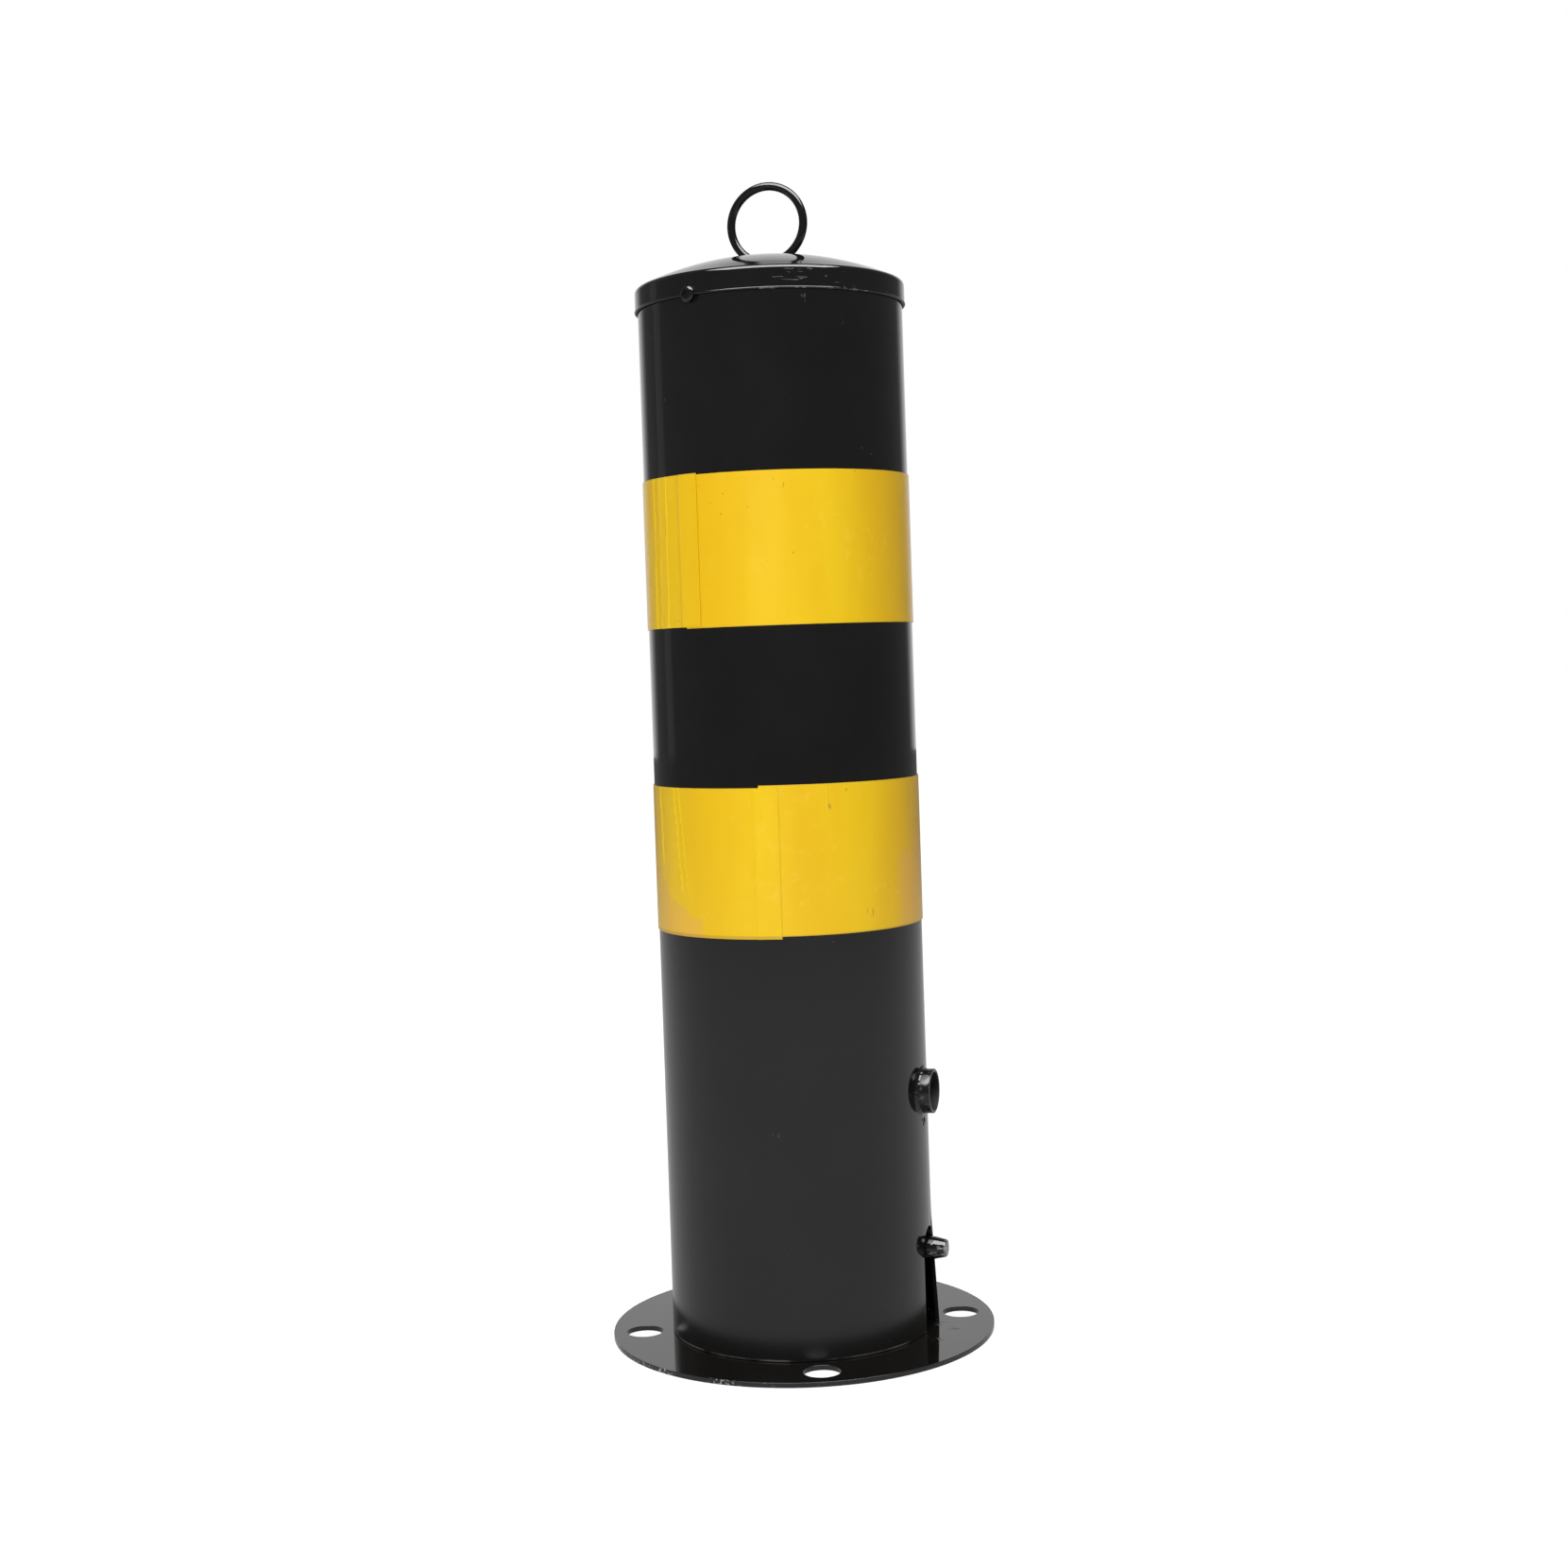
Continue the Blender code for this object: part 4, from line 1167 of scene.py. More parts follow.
@dataclass
class Post:
    """Post tube with its slot, lock hole and screw holes."""

    node: str = "post_tube"
    wall: float = 0.0015
    slot_turn: float = math.radians(2.9)
    slot_width: float = 0.0161
    slot_top: float = 0.0445
    screw_hole: float = 0.0042
    lock_play: float = 0.0006
    edge: float = 0.0003
    around: int = 384
    upward: int = 48
    flare: float = 0.0021       # how far the slot's far lip is bent out at the foot
    flare_top: float = 0.050
    flare_reach: float = math.radians(38.0)
    flare_behind: float = 0.01      # radians behind the lip that still move with it
    marks: tuple[Triple, ...] = (   # degrees round the post, height and reach
        (302.2, 0.4231, 0.0022),
        (318.4, 0.4143, 0.0016),
        (270.0, 0.0531, 0.0018),
        (279.0, 0.0930, 0.0018),
        (236.0, 0.3890, 0.0026),
    )

    def __post_init__(self) -> None:
        """Take the tube's radius and length from the frame."""
        self.radius = node_span(self.node, 1)[1]
        self.foot, self.top = node_span(self.node, 2)
        self.bore = self.radius - self.wall

    def hole(self, diameter: float, turn: float, height: float) -> Piece:
        """Make a cutter for a round hole through the wall, at an angle and a height."""
        return settle(rod(diameter / 2, self.bore - REACH, self.radius + REACH), side_axis(turn, height))

    def slot_cutters(self) -> list[Piece]:
        """Make the cutters for the open-bottomed slot and its round crown.

        Returns:
            The crown's cutter and the run's.
        """
        half = self.slot_width / 2
        crown_height = self.slot_top - half
        crown = self.hole(self.slot_width, self.slot_turn, crown_height)
        run = bar(
            Vector((self.bore - REACH, -half, -REACH)), Vector((self.radius + REACH, half, crown_height))
        )
        return [crown, settle(run, turn_z(self.slot_turn))]

    def bend_lip(self, tube: Piece) -> None:
        """Bend the wall beside the slot a little outwards, most of all at the foot.

        Args:
            tube: the post with its slot cut.
        """
        lip = self.slot_turn + math.asin(self.slot_width / 2 / self.radius)
        for point in tube.data.vertices:
            beside = math.atan2(point.co.y, point.co.x) - lip
            if not -self.flare_behind <= beside <= self.flare_reach or point.co.z > self.flare_top:
                continue
            down = (self.flare_top - point.co.z) / (self.flare_top - self.foot)
            share = 0.5 + 0.5 * math.cos(math.pi * max(beside, 0.0) / self.flare_reach)
            grow = 1.0 + self.flare * down * share / self.radius
            point.co.x *= grow
            point.co.y *= grow

    def build(self) -> None:
        """Turn the tube, cut its openings and round their edges."""
        rings = even_rings((self.radius, self.foot), (self.radius, self.top), self.upward)
        rings += even_rings((self.bore, self.top), (self.bore, self.foot), self.upward)
        tube = lathe("post_steel", rings, self.around, Side.HOLLOW)
        carve(tube, *self.slot_cutters())
        carve(tube, self.hole(LOCK_SHELL.radius * 2 + self.lock_play, 0.0, LOCK_SHELL.height))
        for turn in CAP.screw_turns:
            carve(tube, self.hole(self.screw_hole, turn, CAP.foot + CAP.screw_above))
        self.bend_lip(tube)
        round_edges(tube, self.edge, 2)
        smooth(tube, weighted=True)
        finish = TubeEnamel("post_enamel", foot=self.foot, marks=spots(self.radius, self.marks))
        dress(tube, finish, self.node)


@dataclass
class Cap:
    """Pressed cap with its skirt, ring slot and screws."""

    node: str = "cap"
    wall: float = 0.0008
    corner: float = 0.0022
    dome_radius: float = 0.130
    skirt: float = 0.0077
    hem_round: float = 0.00045
    hem_out: float = 0.0003
    edge: float = 0.00025
    around: int = 288
    notch: float = 0.0042
    screw_turns: tuple[float, ...] = (math.radians(253.0), math.radians(73.0))
    screw_above: float = 0.0005
    screw_length: float = 0.009
    screw_straight: float = 0.0065
    screw_edge: float = 0.00012
    screw_shank: float = 0.0018
    screw_head: float = 0.0033
    screw_rise: float = 0.0017
    screw_brim: float = 0.0004
    recess: Ring = (0.0036, 0.0009)     # length and width of the cross's arms
    recess_turn: float = math.radians(20.0)
    scratch_turn: float = math.radians(303.0)
    scratch_above: float = 0.004
    stain_turn: float = math.radians(320.0)

    def __post_init__(self) -> None:
        """Take the cap's radius and heights from the frame."""
        self.radius = node_span(self.node, 0)[1]
        self.foot, self.crown = node_span(self.node, 2)
        self.centre = self.crown - self.dome_radius
        self.corner_out = self.radius - self.corner
        self.corner_height = self.foot + self.skirt

    def shell_rings(self, inset: float) -> list[Ring]:
        """Rings of the cap's outer or inner surface, from the skirt's foot to the crown.

        Args:
            inset: how far inside the outer surface they lie.

        Returns:
            The rings, the last one close to the axis.
        """
        lean = 90.0 - math.degrees(math.asin(self.corner_out / (self.dome_radius - self.corner)))
        side = self.radius - inset
        rings = even_rings((side, self.foot), (side, self.corner_height), 4)
        corner = (self.corner_out, self.corner_height)
        rings += arc_rings(corner, self.corner - inset, 0.0, lean, 10)[1:]
        rings += arc_rings((0.0, self.centre), self.dome_radius - inset, lean, 89.6, 24)[1:]
        return rings

    def build_shell(self) -> None:
        """Turn the shell, roll its hem and cut the ring's slot and the screw notches."""
        inside = self.shell_rings(self.wall)
        outside = self.shell_rings(0.0)
        roll = (self.radius + self.hem_out - self.hem_round, self.foot + self.hem_round)
        outside[:1] = arc_rings(roll, self.hem_round, -90.0, 75.0, 12)
        shell = lathe("cap_shell", outside[::-1] + inside, self.around, Side.SOLID)
        half = self.notch / 2
        near, far = self.radius - REACH, self.radius + REACH
        seat = self.foot + self.screw_above
        for turn in self.screw_turns:
            drill = settle(rod(half, near, far, 64), side_axis(turn, seat))
            notch = bar(Vector((near, -half, self.foot - REACH)), Vector((far, half, seat)))
            carve(shell, drill, settle(notch, turn_z(turn)))
        carve(shell, RING.slot_cutter())
        round_edges(shell, self.edge, 3, 50.0)
        smooth(shell, weighted=True)
        finish = SkirtEnamel(
            "cap_enamel",
            hem=self.foot,
            scratched=around_post(self.radius, self.scratch_turn, self.foot + self.scratch_above),
            stained=around_post(self.radius, self.stain_turn, self.foot),
        )
        dress(shell, finish, self.node)

    def build_screw(self, index: int, turn: float) -> None:
        """Turn a pan-head screw, press its cross recess and set it in the notch.

        Args:
            index: number of the screw, from 1.
            turn: where it sits round the post.
        """
        seat = self.radius + self.hem_out
        brim = seat + self.screw_brim
        rings = [
            (self.screw_shank * 0.15, seat - self.screw_length),
            (self.screw_shank, seat - self.screw_straight),
            (self.screw_shank, seat),
            (self.screw_head * 0.94, seat),
            (self.screw_head, brim),
        ]
        for step in range(1, 9):
            angle = math.radians(90.0 * step / 9)
            up = (self.screw_rise - self.screw_brim) * math.sin(angle)
            rings.append((self.screw_head * math.cos(angle) ** 0.7, brim + up))
        screw = lathe(f"cap_screw_head_{index}", rings, 64, Side.SOLID)
        top = seat + self.screw_rise
        length, width = self.recess
        for along, across in ((length, width), (width, length)):
            low = Vector((-along / 2, -across / 2, top - width))
            carve(screw, bar(low, Vector((along / 2, across / 2, top + REACH))))
        round_edges(screw, self.screw_edge, 2, 50.0)
        settle(screw, side_axis(turn, self.foot + self.screw_above) @ turn_z(self.recess_turn))
        smooth(screw, 45.0)
        dress(screw, Enamel(f"screw_enamel_{index}"), f"cap_screw_{index}")

    def build(self) -> None:
        """Build the shell and its screws."""
        self.build_shell()
        for index, turn in enumerate(self.screw_turns, start=1):
            self.build_screw(index, turn)


@dataclass
class WeldLump:
    """Small flattened lump of weld on the steel."""

    name: str
    rings: list[Ring]
    around: int
    scale: Triple
    skin: Ring          # depth and grain of its unevenness

    def build(self, place: Matrix, finish: str) -> None:
        """Turn the lump, flatten and roughen it and set it in its place.

        Args:
            place: where it goes.
            finish: name of its material.
        """
        lump = lathe(self.name, self.rings, self.around, Side.SOLID)
        settle(lump, Matrix.Diagonal((*self.scale, 1.0)))
        roughen(lump, *self.skin)
        settle(lump, place)
        smooth(lump, 60.0)
        dress(lump, WeldEnamel(finish))


@dataclass
class LiftRing:
    """Wire ring that stands on the cap, with its welds."""

    node: str = "lift_ring"
    wire: float = 0.00175
    play: float = 0.0003
    skin: Ring = (0.00002, 0.010)       # depth and grain of the wire's unevenness
    weld: float = 0.0026        # radius of each weld before it is flattened
    weld_scale: Triple = (1.15, 0.85, 0.30)
    weld_skin: Ring = (0.0004, 0.0015)

    def __post_init__(self) -> None:
        """Take the ring's size and height from the frame."""
        self.outer = node_span(self.node, 0)[1]
        self.centre_height = node_span(self.node, 2)[1] - self.outer
        self.bend = self.outer - self.wire

    def slot_cutter(self) -> Piece:
        """Make the cutter for the slot that the ring passes through.

        Returns:
            The cutter.
        """
        drop = self.centre_height - CAP.crown
        half_length = math.sqrt(self.outer ** 2 - drop ** 2) + self.play
        corner = Vector((half_length, self.wire + self.play, REACH))
        crown = Vector((0.0, 0.0, CAP.crown))
        return bar(crown - corner, crown + corner)

    def build_wire(self) -> None:
        """Bend the wire, its joint hidden under the cap."""
        wire = add(
            bpy.ops.mesh.primitive_torus_add,
            "ring_wire",
            major_segments=192,
            minor_segments=40,
            major_radius=self.bend,
            minor_radius=self.wire,
            location=(0.0, 0.0, self.centre_height),
            rotation=(math.radians(90.0), 0.0, 0.0),
        )
        roughen(wire, *self.skin)
        smooth(wire)
        dress(wire, Enamel("ring_enamel", gloss=0.12, peel=0.000001), self.node)

    def build_welds(self) -> None:
        """Set a low lumpy fillet on either side of the ring's foot, where the wire meets the dome."""
        drop = self.centre_height - CAP.crown
        out = math.sqrt(self.bend ** 2 - drop ** 2)
        dome = CAP.centre + math.sqrt(CAP.dome_radius ** 2 - out ** 2)
        rings = [(0.0030, -0.0006), (0.0028, 0.0)]
        rings += arc_rings((0.0, 0.0), self.weld, 10.0, 80.0, 6)
        for index, side in enumerate((-out, out), start=1):
            lump = WeldLump(f"ring_weld_{index}", rings, 48, self.weld_scale, self.weld_skin)
            lump.build(shift(side, 0.0, dome), f"ring_weld_enamel_{index}")

    def build(self) -> None:
        """Build the wire and its welds."""
        self.build_wire()
        self.build_welds()


@dataclass(frozen=True)
class Crease:
    """Thin upright fold in the film."""

    turn: float         # degrees round the post, at the strip's middle
    lean: float         # degrees from its foot to its head
    start: float        # share of the strip's width below it
    height: float


@dataclass
class Band:
    """One strip of reflective film wound once round the post with lapped ends."""

    name: str
    node: str
    end_turn: float
    drift: float
    creases: tuple[Crease, ...] = ()
    veils: tuple[Veil, ...] = ()
    marks: tuple[Triple, ...] = ()
    lap: float = math.radians(8.0)
    gap: float = 0.0002
    thickness: float = 0.0003
    crease_half: float = math.radians(0.3)
    around: int = 736
    upward: int = 40

    def __post_init__(self) -> None:
        """Take the strip's height and width from the frame."""
        low, high = node_span(self.node, 2)
        climb = self.drift * (1.0 + self.lap / math.tau)
        self.width = high - low - abs(climb)
        self.low = low - min(climb, 0.0)
        self.high = high

    def cut_length(self) -> Piece:
        """Stand the strip's first edge on the post and wind it round as far as its lap.

        Returns:
            The strip.
        """
        strip = add(
            bpy.ops.mesh.primitive_grid_add,
            self.name,
            x_subdivisions=1,
            y_subdivisions=self.upward,
            size=self.width,
        )
        settle(strip, Matrix.Rotation(math.radians(90.0), 4, "X"))
        with editing(strip, lambda place: place.x > 0.0):
            bpy.ops.mesh.delete(type="VERT")
        half = self.width / 2
        settle(strip, shift(POST.radius + self.gap + half, 0.0, self.low + half))
        run_modifier(
            strip,
            "SCREW",
            axis="Z",
            angle=math.tau - self.lap / 2,
            steps=self.around,
            render_steps=self.around,
            screw_offset=self.drift,
            use_merge_vertices=False,
        )
        return strip

    def lay_lap(self, strip: Piece) -> None:
        """Step the strip's end up over its start and run it on to its cut.

        Args:
            strip: the strip as far as its lap.
        """
        last = -self.lap / 2
        spin = {"center": (0.0, 0.0, 0.0), "axis": UP, "dupli": False}
        lift = 1.0 + (self.thickness + self.gap) / (POST.radius + self.gap)
        with editing(strip, lambda place: abs(math.atan2(place.y, place.x) - last) < ANGLE_SLACK):
            bpy.ops.mesh.spin(steps=2, angle=-self.lap / 4, **spin)
            bpy.ops.transform.resize(value=(lift, lift, 1.0), center_override=(0.0, 0.0, 0.0))
            bpy.ops.mesh.spin(steps=20, angle=-self.lap * 1.25, **spin)

    def raise_creases(self, strip: Piece) -> None:
        """Raise thin upright folds out of the strip.

        Args:
            strip: the strip in its place round the post.
        """
        for crease in self.creases:

            def on_fold(place: Vector) -> bool:
                """Tell whether a point lies on the fold."""
                share = (place.z - self.low) / self.width
                middle = math.radians(crease.turn) + math.radians(crease.lean) * (share - 0.5)
                apart = math.atan2(place.y, place.x) - middle
                apart = abs((apart + math.pi) % math.tau - math.pi)
                return share > crease.start and apart < self.crease_half

            grow = 1.0 + crease.height / POST.radius
            with editing(strip, on_fold):
                bpy.ops.transform.resize(value=(grow, grow, 1.0), center_override=(0.0, 0.0, 0.0))

    def build(self) -> None:
        """Wind the strip, lay its lap, raise its creases and give it its thickness."""
        strip = self.cut_length()
        self.lay_lap(strip)
        settle(strip, turn_z(self.end_turn - self.lap))
        self.raise_creases(strip)
        face_outward(strip)
        run_modifier(strip, "SOLIDIFY", thickness=self.thickness, offset=1.0)
        smooth(strip, 40.0)
        marks = spots(POST.radius, self.marks)
        finish = Film(self.name + "_film", self.low, self.high, self.veils, marks)
        dress(strip, finish, self.node, slot=Slot.FILM)


@dataclass
class LockShell:
    """Lock tube through the post's wall with its weld and spatter."""

    node: str = "lock_tube"
    bore: float = 0.00775
    lip: float = 0.0015
    lip_width: float = 0.002
    mouth_edge: float = 0.0004
    radius: float = 0.00915
    plain_end: float = 0.002        # length at either end without rings
    bead: float = 0.0016
    bead_root: float = 0.0008       # how far the bead reaches into the tube's wall
    bead_skin: Ring = (0.00007, 0.0022)
    ripples: float = 26.0
    ripple_height: float = 0.02
    ripple_aside: float = 0.4
    stop_hole: float = 0.0046
    drop_scale: Triple = (1.2, 0.9, 0.5)
    drop_grain: float = 0.001
    drops: tuple[Triple, ...] = (   # height from the lock's axis, place aside and size
        (-0.0125, 0.0009, 0.0010),
        (-0.0138, -0.0006, 0.0006),
        (-0.0117, -0.0025, 0.0005),
    )

    def __post_init__(self) -> None:
        """Take the lock's height and ends from the frame."""
        self.height = node_middle(self.node, 2)
        self.inner_end, self.mouth = node_span(self.node, 0)
        self.stop_place = node_middle("stop_screw", 0)

    def build_tube(self) -> None:
        """Turn the tube with its inner lip and rounded mouth and drill the stop screw's hole."""
        edge = self.mouth_edge
        brim = self.mouth - edge
        lip_radius = self.bore - self.lip_width
        lip_end = self.inner_end + self.lip
        rings = [(lip_radius, self.inner_end), (self.radius, self.inner_end)]
        rings += even_rings((self.radius, self.inner_end + self.plain_end), (self.radius, brim), 30)
        rings += arc_rings((self.radius - edge, brim), edge, 0.0, 90.0, 4)[1:]
        rings += arc_rings((self.bore + edge, brim), edge, 90.0, 180.0, 4)
        rings += even_rings((self.bore, self.mouth - self.plain_end), (self.bore, lip_end), 8)
        rings.append((lip_radius, lip_end))
        tube = settle(lathe("lock_shell", rings, 128, Side.HOLLOW), side_axis(0.0, self.height))
        drill = rod(self.stop_hole / 2, 0.0, self.radius * 2, 48)
        carve(tube, settle(drill, shift(self.stop_place, 0.0, self.height)))
        smooth(tube)
        # The tube's bore gets painted shade, and its lumps get lighter crests as painted highlight.
        finish = WeldEnamel(
            "lock_enamel",
            lumps=620.0,
            depth=0.00006,
            crest_and_highlight=(0.075, 0.073, 0.071),
            axis_height=self.height,
            shaded_bore=self.bore,
        )
        dress(tube, finish, self.node)

    def build_bead(self) -> None:
        """Lay a lumpy weld fillet round the tube, down on the post's curved wall."""
        inside = self.radius - self.bead_root
        foot = self.radius + self.bead
        rings = [(inside, self.bead), (self.radius + 0.0001, self.bead)]
        rings += arc_rings((foot, self.bead), self.bead, 185.0, 265.0, 12)
        rings += [(foot + 0.0002, -0.0004), (inside, -0.0006)]
        bead = settle(lathe("lock_weld_bead", rings, 160, Side.HOLLOW), ALONG_X)
        for point in bead.data.vertices:
            ripple = self.ripple_height * math.sin(self.ripples * math.atan2(point.co.z, point.co.y))
            point.co.y *= 1.0 + ripple * self.ripple_aside
            point.co.z *= 1.0 + ripple * self.ripple_aside
            out = math.sqrt(POST.radius ** 2 - point.co.y ** 2)
            point.co.x = out + point.co.x * (1.0 + ripple)
        roughen(bead, *self.bead_skin)
        settle(bead, shift(0.0, 0.0, self.height))
        smooth(bead, 60.0)
        dress(bead, WeldEnamel("weld_enamel", lumps=480.0, depth=0.00003))

    def build_spatter(self) -> None:
        """Scatter a few flat drops of weld on the wall under the tube."""
        for index, (down, aside, size) in enumerate(self.drops, start=1):
            out = math.sqrt(POST.radius ** 2 - aside ** 2)
            rings = arc_rings((0.0, 0.0), size, -20.0, 80.0, 6)
            skin = (size * 0.3, self.drop_grain)
            drop = WeldLump(f"weld_drop_{index}", rings, 24, self.drop_scale, skin)
            drop.build(shift(out, aside, self.height + down) @ ALONG_X, f"drop_enamel_{index}")

    def build(self) -> None:
        """Build the tube, its bead and the spatter."""
        self.build_tube()
        self.build_bead()
        self.build_spatter()


@dataclass
class LockSpring:
    """Coil spring behind the lock's cylinder, which closes up as the lock is pushed."""

    node: str = "lock_spring"
    joint: str = "lock_push"
    wire: float = 0.0005        # radius of the wire
    wire_points: int = 16
    turns: int = 4
    steps: int = 48             # to each turn
    travel: float = 0.009

    def __post_init__(self) -> None:
        """Take the coil's place and size from the frame."""
        low, high = node_span(self.node, 2)
        self.height = node_middle(self.node, 2)
        self.coil = (high - low) / 2 - self.wire
        self.start, end = node_span(self.node, 0)
        self.length = end - self.start

    def build(self) -> None:
        """Wind the wire, close its ends and set it in its place."""
        coil = add(
            bpy.ops.mesh.primitive_circle_add,
            "spring_coil",
            vertices=self.wire_points,
            radius=self.wire,
            fill_type="NOTHING",
            location=(self.coil, 0.0, self.wire),
            rotation=(math.radians(90.0), 0.0, 0.0),
        )
        run_modifier(
            coil,
            "SCREW",
            axis="Z",
            angle=math.tau,
            iterations=self.turns,
            steps=self.steps,
            render_steps=self.steps,
            screw_offset=(self.length - 2.0 * self.wire) / self.turns,
        )
        with editing(coil):
            close_up(True)
        settle(coil, shift(self.start, 0.0, self.height) @ ALONG_X)
        smooth(coil, 50.0)
        steel = Machined("spring_metal", (0.40, 0.41, 0.43), (0.24, 0.24, 0.25), 0.25)
        dress(coil, steel, self.node, slot=Slot.SPRING)
        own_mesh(coil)


@dataclass
class LockCore:
    """Sliding cylinder, key plug and hidden parts of the lock, which keep their solids."""

    zinc: Machined = Machined("zinc_metal", (0.56, 0.57, 0.58), (0.40, 0.41, 0.42), 0.32)
    brass: Machined = Machined("brass_metal", (0.72, 0.53, 0.24), (0.50, 0.35, 0.14), 0.28)
    enamel: Enamel = Enamel("bridge_enamel")

    def build(self) -> None:
        """Give the parts of the lock their metals."""
        finishes = {
            "lock_cylinder": self.zinc,
            "lock_bolt": self.zinc,
            "plug_pin": self.zinc,
            "stop_screw": self.zinc,
            "key_plug": self.brass,
            "guide_bush": self.brass,
            "lock_bridge": self.enamel,
        }
        for node, finish in finishes.items():
            material = finish.material()
            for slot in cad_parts[node].material_slots:
                slot.material = material
            LOG.info("%s: keeps its solid", node)


# Studio


@dataclass(frozen=True)
class Viewpoint:
    """Camera worked out from the photograph."""

    azimuth: float = 18.0       # degrees from -Y towards +X
    distance: float = 0.9269
    height: float = 0.2797
    pitch: float = 1.6473       # degrees down
    roll: float = -1.9368
    focal: float = 2343.0       # in pixels of the photograph
    shift: float = -60.0        # in pixels of the photograph
    sensor: float = 36.0        # millimetres

    def toward(self) -> Vector:
        """Level direction in which the camera looks."""
        turn = math.radians(self.azimuth)
        return Vector((-math.sin(turn), math.cos(turn), 0.0))

    def build(self) -> None:
        """Set the camera at its place."""
        toward = self.toward()
        pitch = math.radians(self.pitch)
        roll = math.radians(self.roll)
        ahead = toward * math.cos(pitch) - Vector(UP) * math.sin(pitch)
        right = Vector((toward.y, -toward.x, 0.0))
        above = right.cross(ahead)
        right_rolled = right * math.cos(roll) + above * math.sin(roll)
        above_rolled = above * math.cos(roll) - right * math.sin(roll)
        data = bpy.data.cameras.new("photo_camera")
        data.sensor_width = self.sensor
        data.lens = self.focal / PHOTO_SIDE * self.sensor
        data.shift_y = self.shift / PHOTO_SIDE
        camera = bpy.data.objects.new("photo_camera", data)
        bpy.context.scene.collection.objects.link(camera)
        matrix = Matrix((right_rolled, above_rolled, -ahead)).transposed().to_4x4()
        matrix.translation = Vector(UP) * self.height - toward * self.distance
        camera.matrix_world = matrix
        bpy.context.scene.camera = camera


@dataclass(frozen=True)
class Softbox:
    """One soft light, placed as the camera sees it."""

    name: str
    back: float         # away from the camera, behind the post
    right: float
    height: float
    width: float
    depth: float
    watts: float
    in_gloss: bool

    def hang(self, toward: Vector) -> None:
        """Hang the light so that it faces the middle of the bollard.

        Args:
            toward: level direction in which the camera looks.
        """
        right = Vector((toward.y, -toward.x, 0.0))
        place = toward * self.back + right * self.right + Vector((0.0, 0.0, self.height))
        facing = (LIGHTS_FACE - place).to_track_quat("-Z", "Y")
        data = bpy.data.lights.new(self.name, "AREA")
        data.shape = "RECTANGLE"
        data.size = self.width
        data.size_y = self.depth
        data.energy = self.watts
        lamp = bpy.data.objects.new(self.name, data)
        bpy.context.scene.collection.objects.link(lamp)
        lamp.matrix_world = Matrix.LocRotScale(place, facing, None)
        lamp.visible_camera = False
        lamp.visible_glossy = self.in_gloss
        lamp.visible_diffuse = not self.in_gloss


def cosines(wide: float, narrow: float) -> Ring:
    """Cosines of two angles in degrees."""
    return math.cos(math.radians(wide)), math.cos(math.radians(narrow))


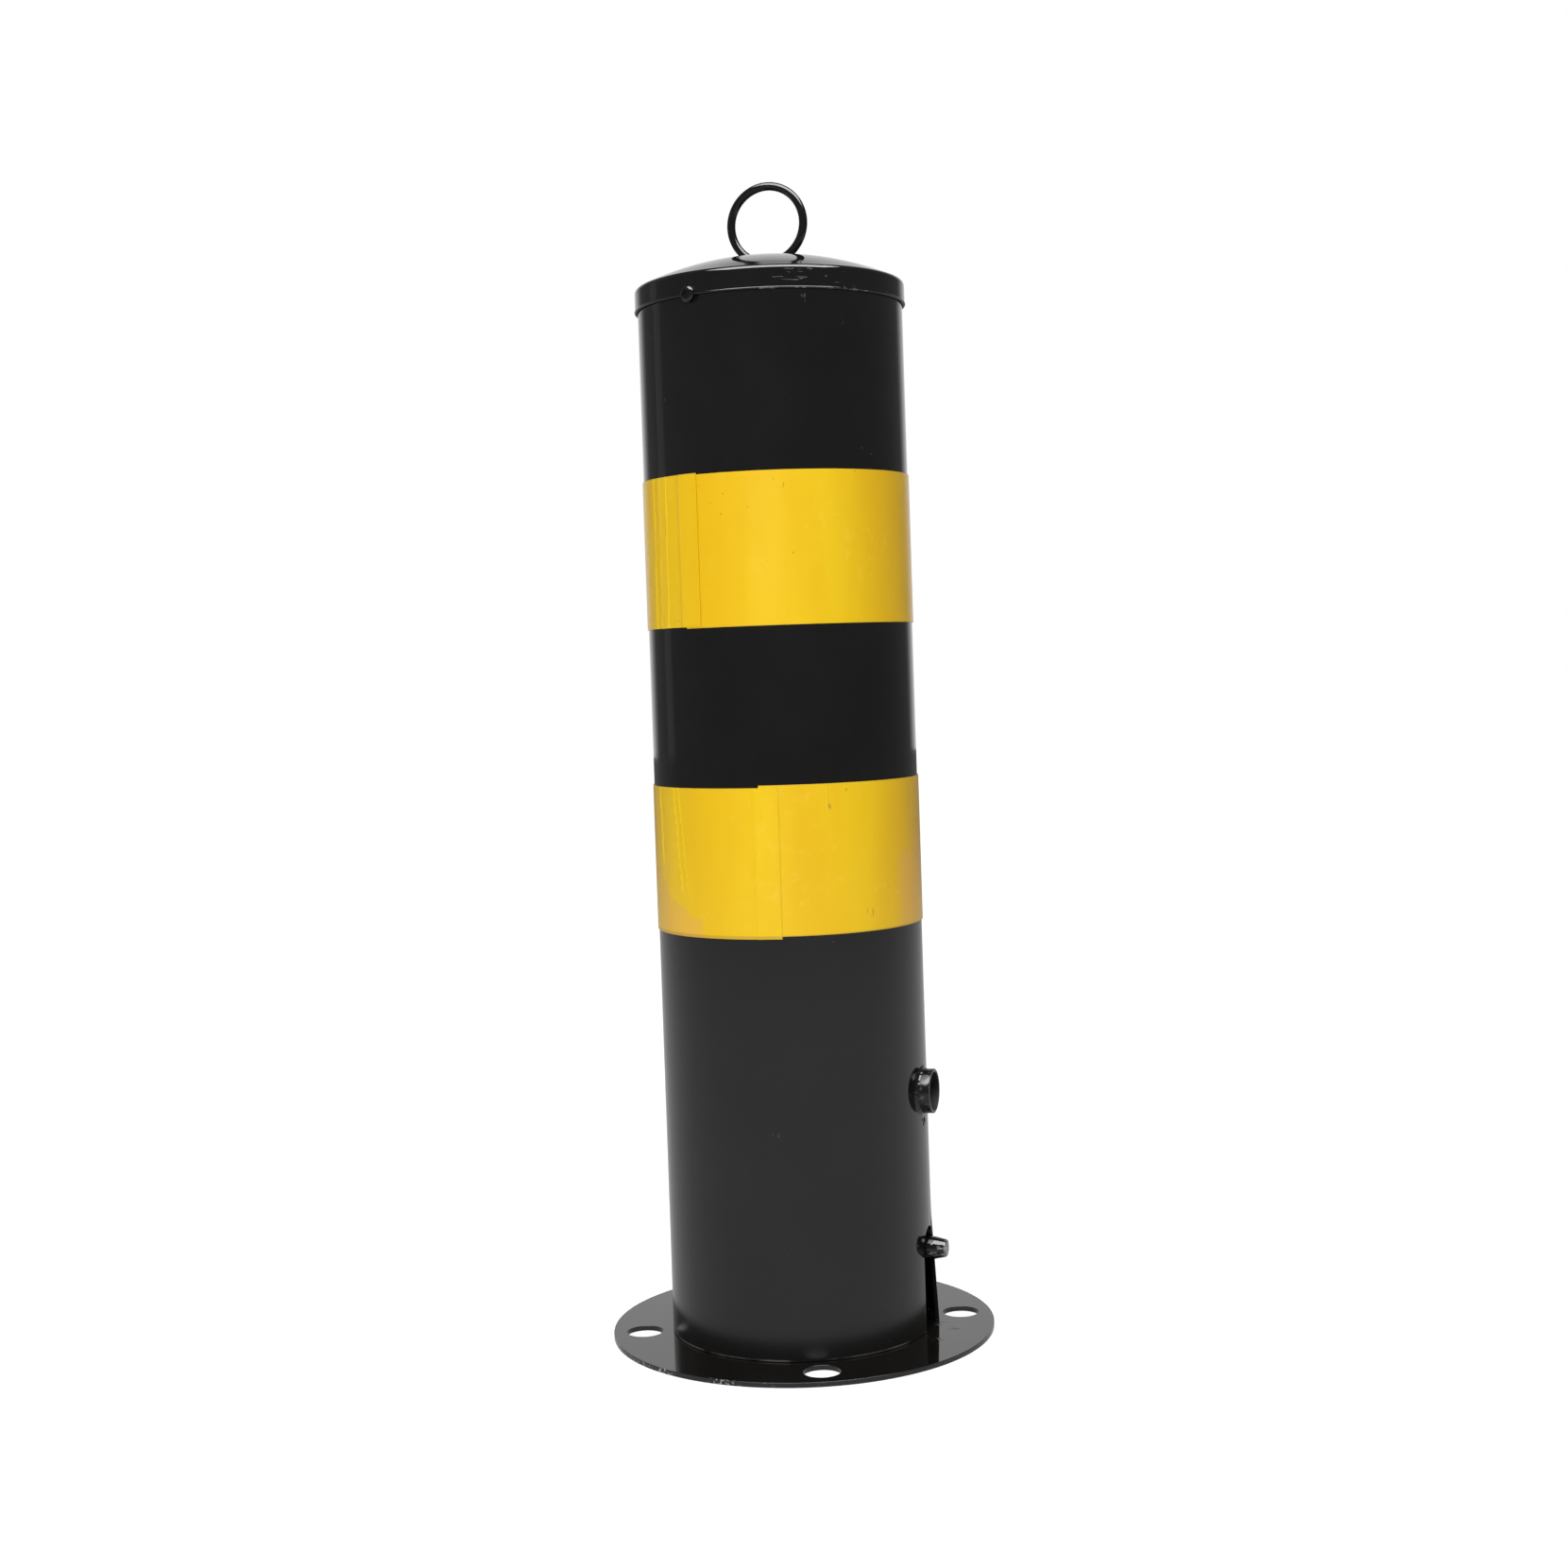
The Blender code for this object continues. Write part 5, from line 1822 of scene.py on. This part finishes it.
@dataclass(frozen=True)
class Studio:
    """Plain pale floor, white backdrop behind the bollard and soft light."""

    view: Viewpoint
    ambient: float = 0.50
    ambient_colour: Triple = (1.0, 0.82, 0.60)
    room: float = 0.15          # brightness in gloss of the room and of its backdrop
    wall: float = 0.85
    wall_sides: Ring = cosines(41.0, 17.0)
    wall_top: Ring = (math.sin(math.radians(44.0)), math.sin(math.radians(30.0)))
    strip_turn: float = math.radians(64.0)
    strip_sides: Ring = cosines(7.0, 3.0)
    strip_glow: float = 0.12
    floor_radius: float = 6.0
    floor_drop: float = 0.0002
    floor_paint: Triple = (0.72, 0.80, 0.95)
    floor_glow: float = 0.72
    floor_near: float = 0.60    # brightness in gloss close to the bollard and far off
    floor_far: float = 0.15
    floor_fade: Ring = (0.45, 3.2)
    lights: tuple[Softbox, ...] = (
        Softbox("top_light", -0.75, 0.10, 2.1, 2.8, 1.4, 150.0, True),
        Softbox("key_light", -2.2, -0.35, 0.9, 1.2, 1.2, 36.0, False),
    )

    def build_world(self) -> None:
        """Light the room and show its backdrop to the camera and in gloss."""
        world = bpy.data.worlds.new("studio_room")
        bpy.context.scene.world = world
        recipe = Recipe("studio_room", world)
        toward = self.view.toward()
        strip_way = Matrix.Rotation(self.strip_turn, 3, "Z") @ toward
        strip = recipe.ramp(recipe.along(strip_way), *self.strip_sides)
        glossy = recipe.times(
            recipe.ramp(recipe.along(toward), *self.wall_sides),
            recipe.ramp(recipe.coordinate("Z"), *self.wall_top),
            self.wall - self.room,
        )
        glossy = recipe.maths("ADD", glossy, recipe.times(strip, self.strip_glow))
        glossy = recipe.maths("ADD", glossy, self.room)
        seen, mirrored = recipe.mirrored()
        rest = recipe.maths("SUBTRACT", 1.0, recipe.maths("MAXIMUM", mirrored, seen))
        strength = recipe.maths("ADD", recipe.times(mirrored, glossy), seen)
        strength = recipe.maths("ADD", strength, recipe.times(rest, self.ambient))
        colour = recipe.mix(rest, WHITE, self.ambient_colour)
        recipe.finish({"Color": colour, "Strength": strength})

    def build_floor(self) -> None:
        """Lay the floor, white to the camera but for the bollard's shadow."""
        floor = add(
            bpy.ops.mesh.primitive_circle_add,
            "studio_floor",
            vertices=96,
            radius=self.floor_radius,
            fill_type="NGON",
            location=(0.0, 0.0, -self.floor_drop),
        )
        recipe = Recipe("studio_floor_paint")
        recipe.nodes.remove(recipe.shader)
        seen, gloss = recipe.mirrored()
        fade = recipe.ramp(recipe.from_axis(), *self.floor_fade)
        bright = recipe.blend(fade, self.floor_near, self.floor_far)
        matt = recipe.node("BsdfDiffuse", {"Color": (*self.floor_paint, 1.0)}).outputs[0]
        glow = recipe.node("Emission", {"Strength": recipe.times(seen, self.floor_glow)}).outputs[0]
        mirror = recipe.node("Emission", {"Strength": bright}).outputs[0]
        both = recipe.node("AddShader", {0: matt, 1: glow}).outputs[0]
        choose = recipe.node("MixShader", {0: gloss, 1: both, 2: mirror}).outputs[0]
        recipe.put(recipe.nodes["Material Output"].inputs["Surface"], choose)
        floor.data.materials.append(recipe.material)
        floor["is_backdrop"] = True

    def build(self) -> None:
        """Build the world, the floor, the lights and the camera."""
        self.build_world()
        self.build_floor()
        for light in self.lights:
            light.hang(self.view.toward())
        self.view.build()
        bpy.context.scene.view_settings.view_transform = "Standard"


FLANGE = Flange()
CAP = Cap()
RING = LiftRing()
POST = Post()
LOCK_SHELL = LockShell()
LOWER_BAND = Band(
    "lower_strip",
    "lower_band",
    math.radians(284.5),
    -0.001,
    creases=(
        Crease(235.5, -6.5, 0.28, 0.00040),
        Crease(239.0, -6.5, 0.24, 0.00030),
        Crease(221.5, -3.0, 0.45, 0.00032),
        Crease(305.0, 0.0, 0.78, 0.00016),
    ),
    veils=(
        Veil(212.0, 250.0, 0.196, 0.176, (0.25, 0.05)),
        Veil(338.0, 376.0, 0.200, 0.205, (0.12, 0.45)),
    ),
    marks=((314.3, 0.2285, 0.0020), (324.0, 0.1792, 0.0030), (304.8, 0.2219, 0.0025)),
)
UPPER_BAND = Band(
    "upper_strip",
    "upper_band",
    math.radians(253.5),
    0.0006,
    creases=(
        Crease(224.3, 0.5, 0.0, 0.00030),
        Crease(229.0, 1.0, 0.0, 0.00022),
        Crease(234.3, 1.0, 0.0, 0.00034),
    ),
    marks=((288.8, 0.3525, 0.0022), (291.0, 0.3500, 0.0018)),
)


def main() -> None:
    """Build every piece of the bollard and its studio."""
    logging.basicConfig(level=logging.INFO, format="%(message)s")
    Studio(Viewpoint()).build()
    bands = (LOWER_BAND, UPPER_BAND)
    for part in (FLANGE, Spigot(), POST, CAP, RING, *bands, LOCK_SHELL, LockSpring(), LockCore()):
        part.build()
        LOG.info("built %s", type(part).__name__)
    boxes = {"cad": CAD_BOX, "visual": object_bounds()}
    {name: [list(corner) for corner in box] for name, box in boxes.items()}


if __name__ == "__main__":
    main()
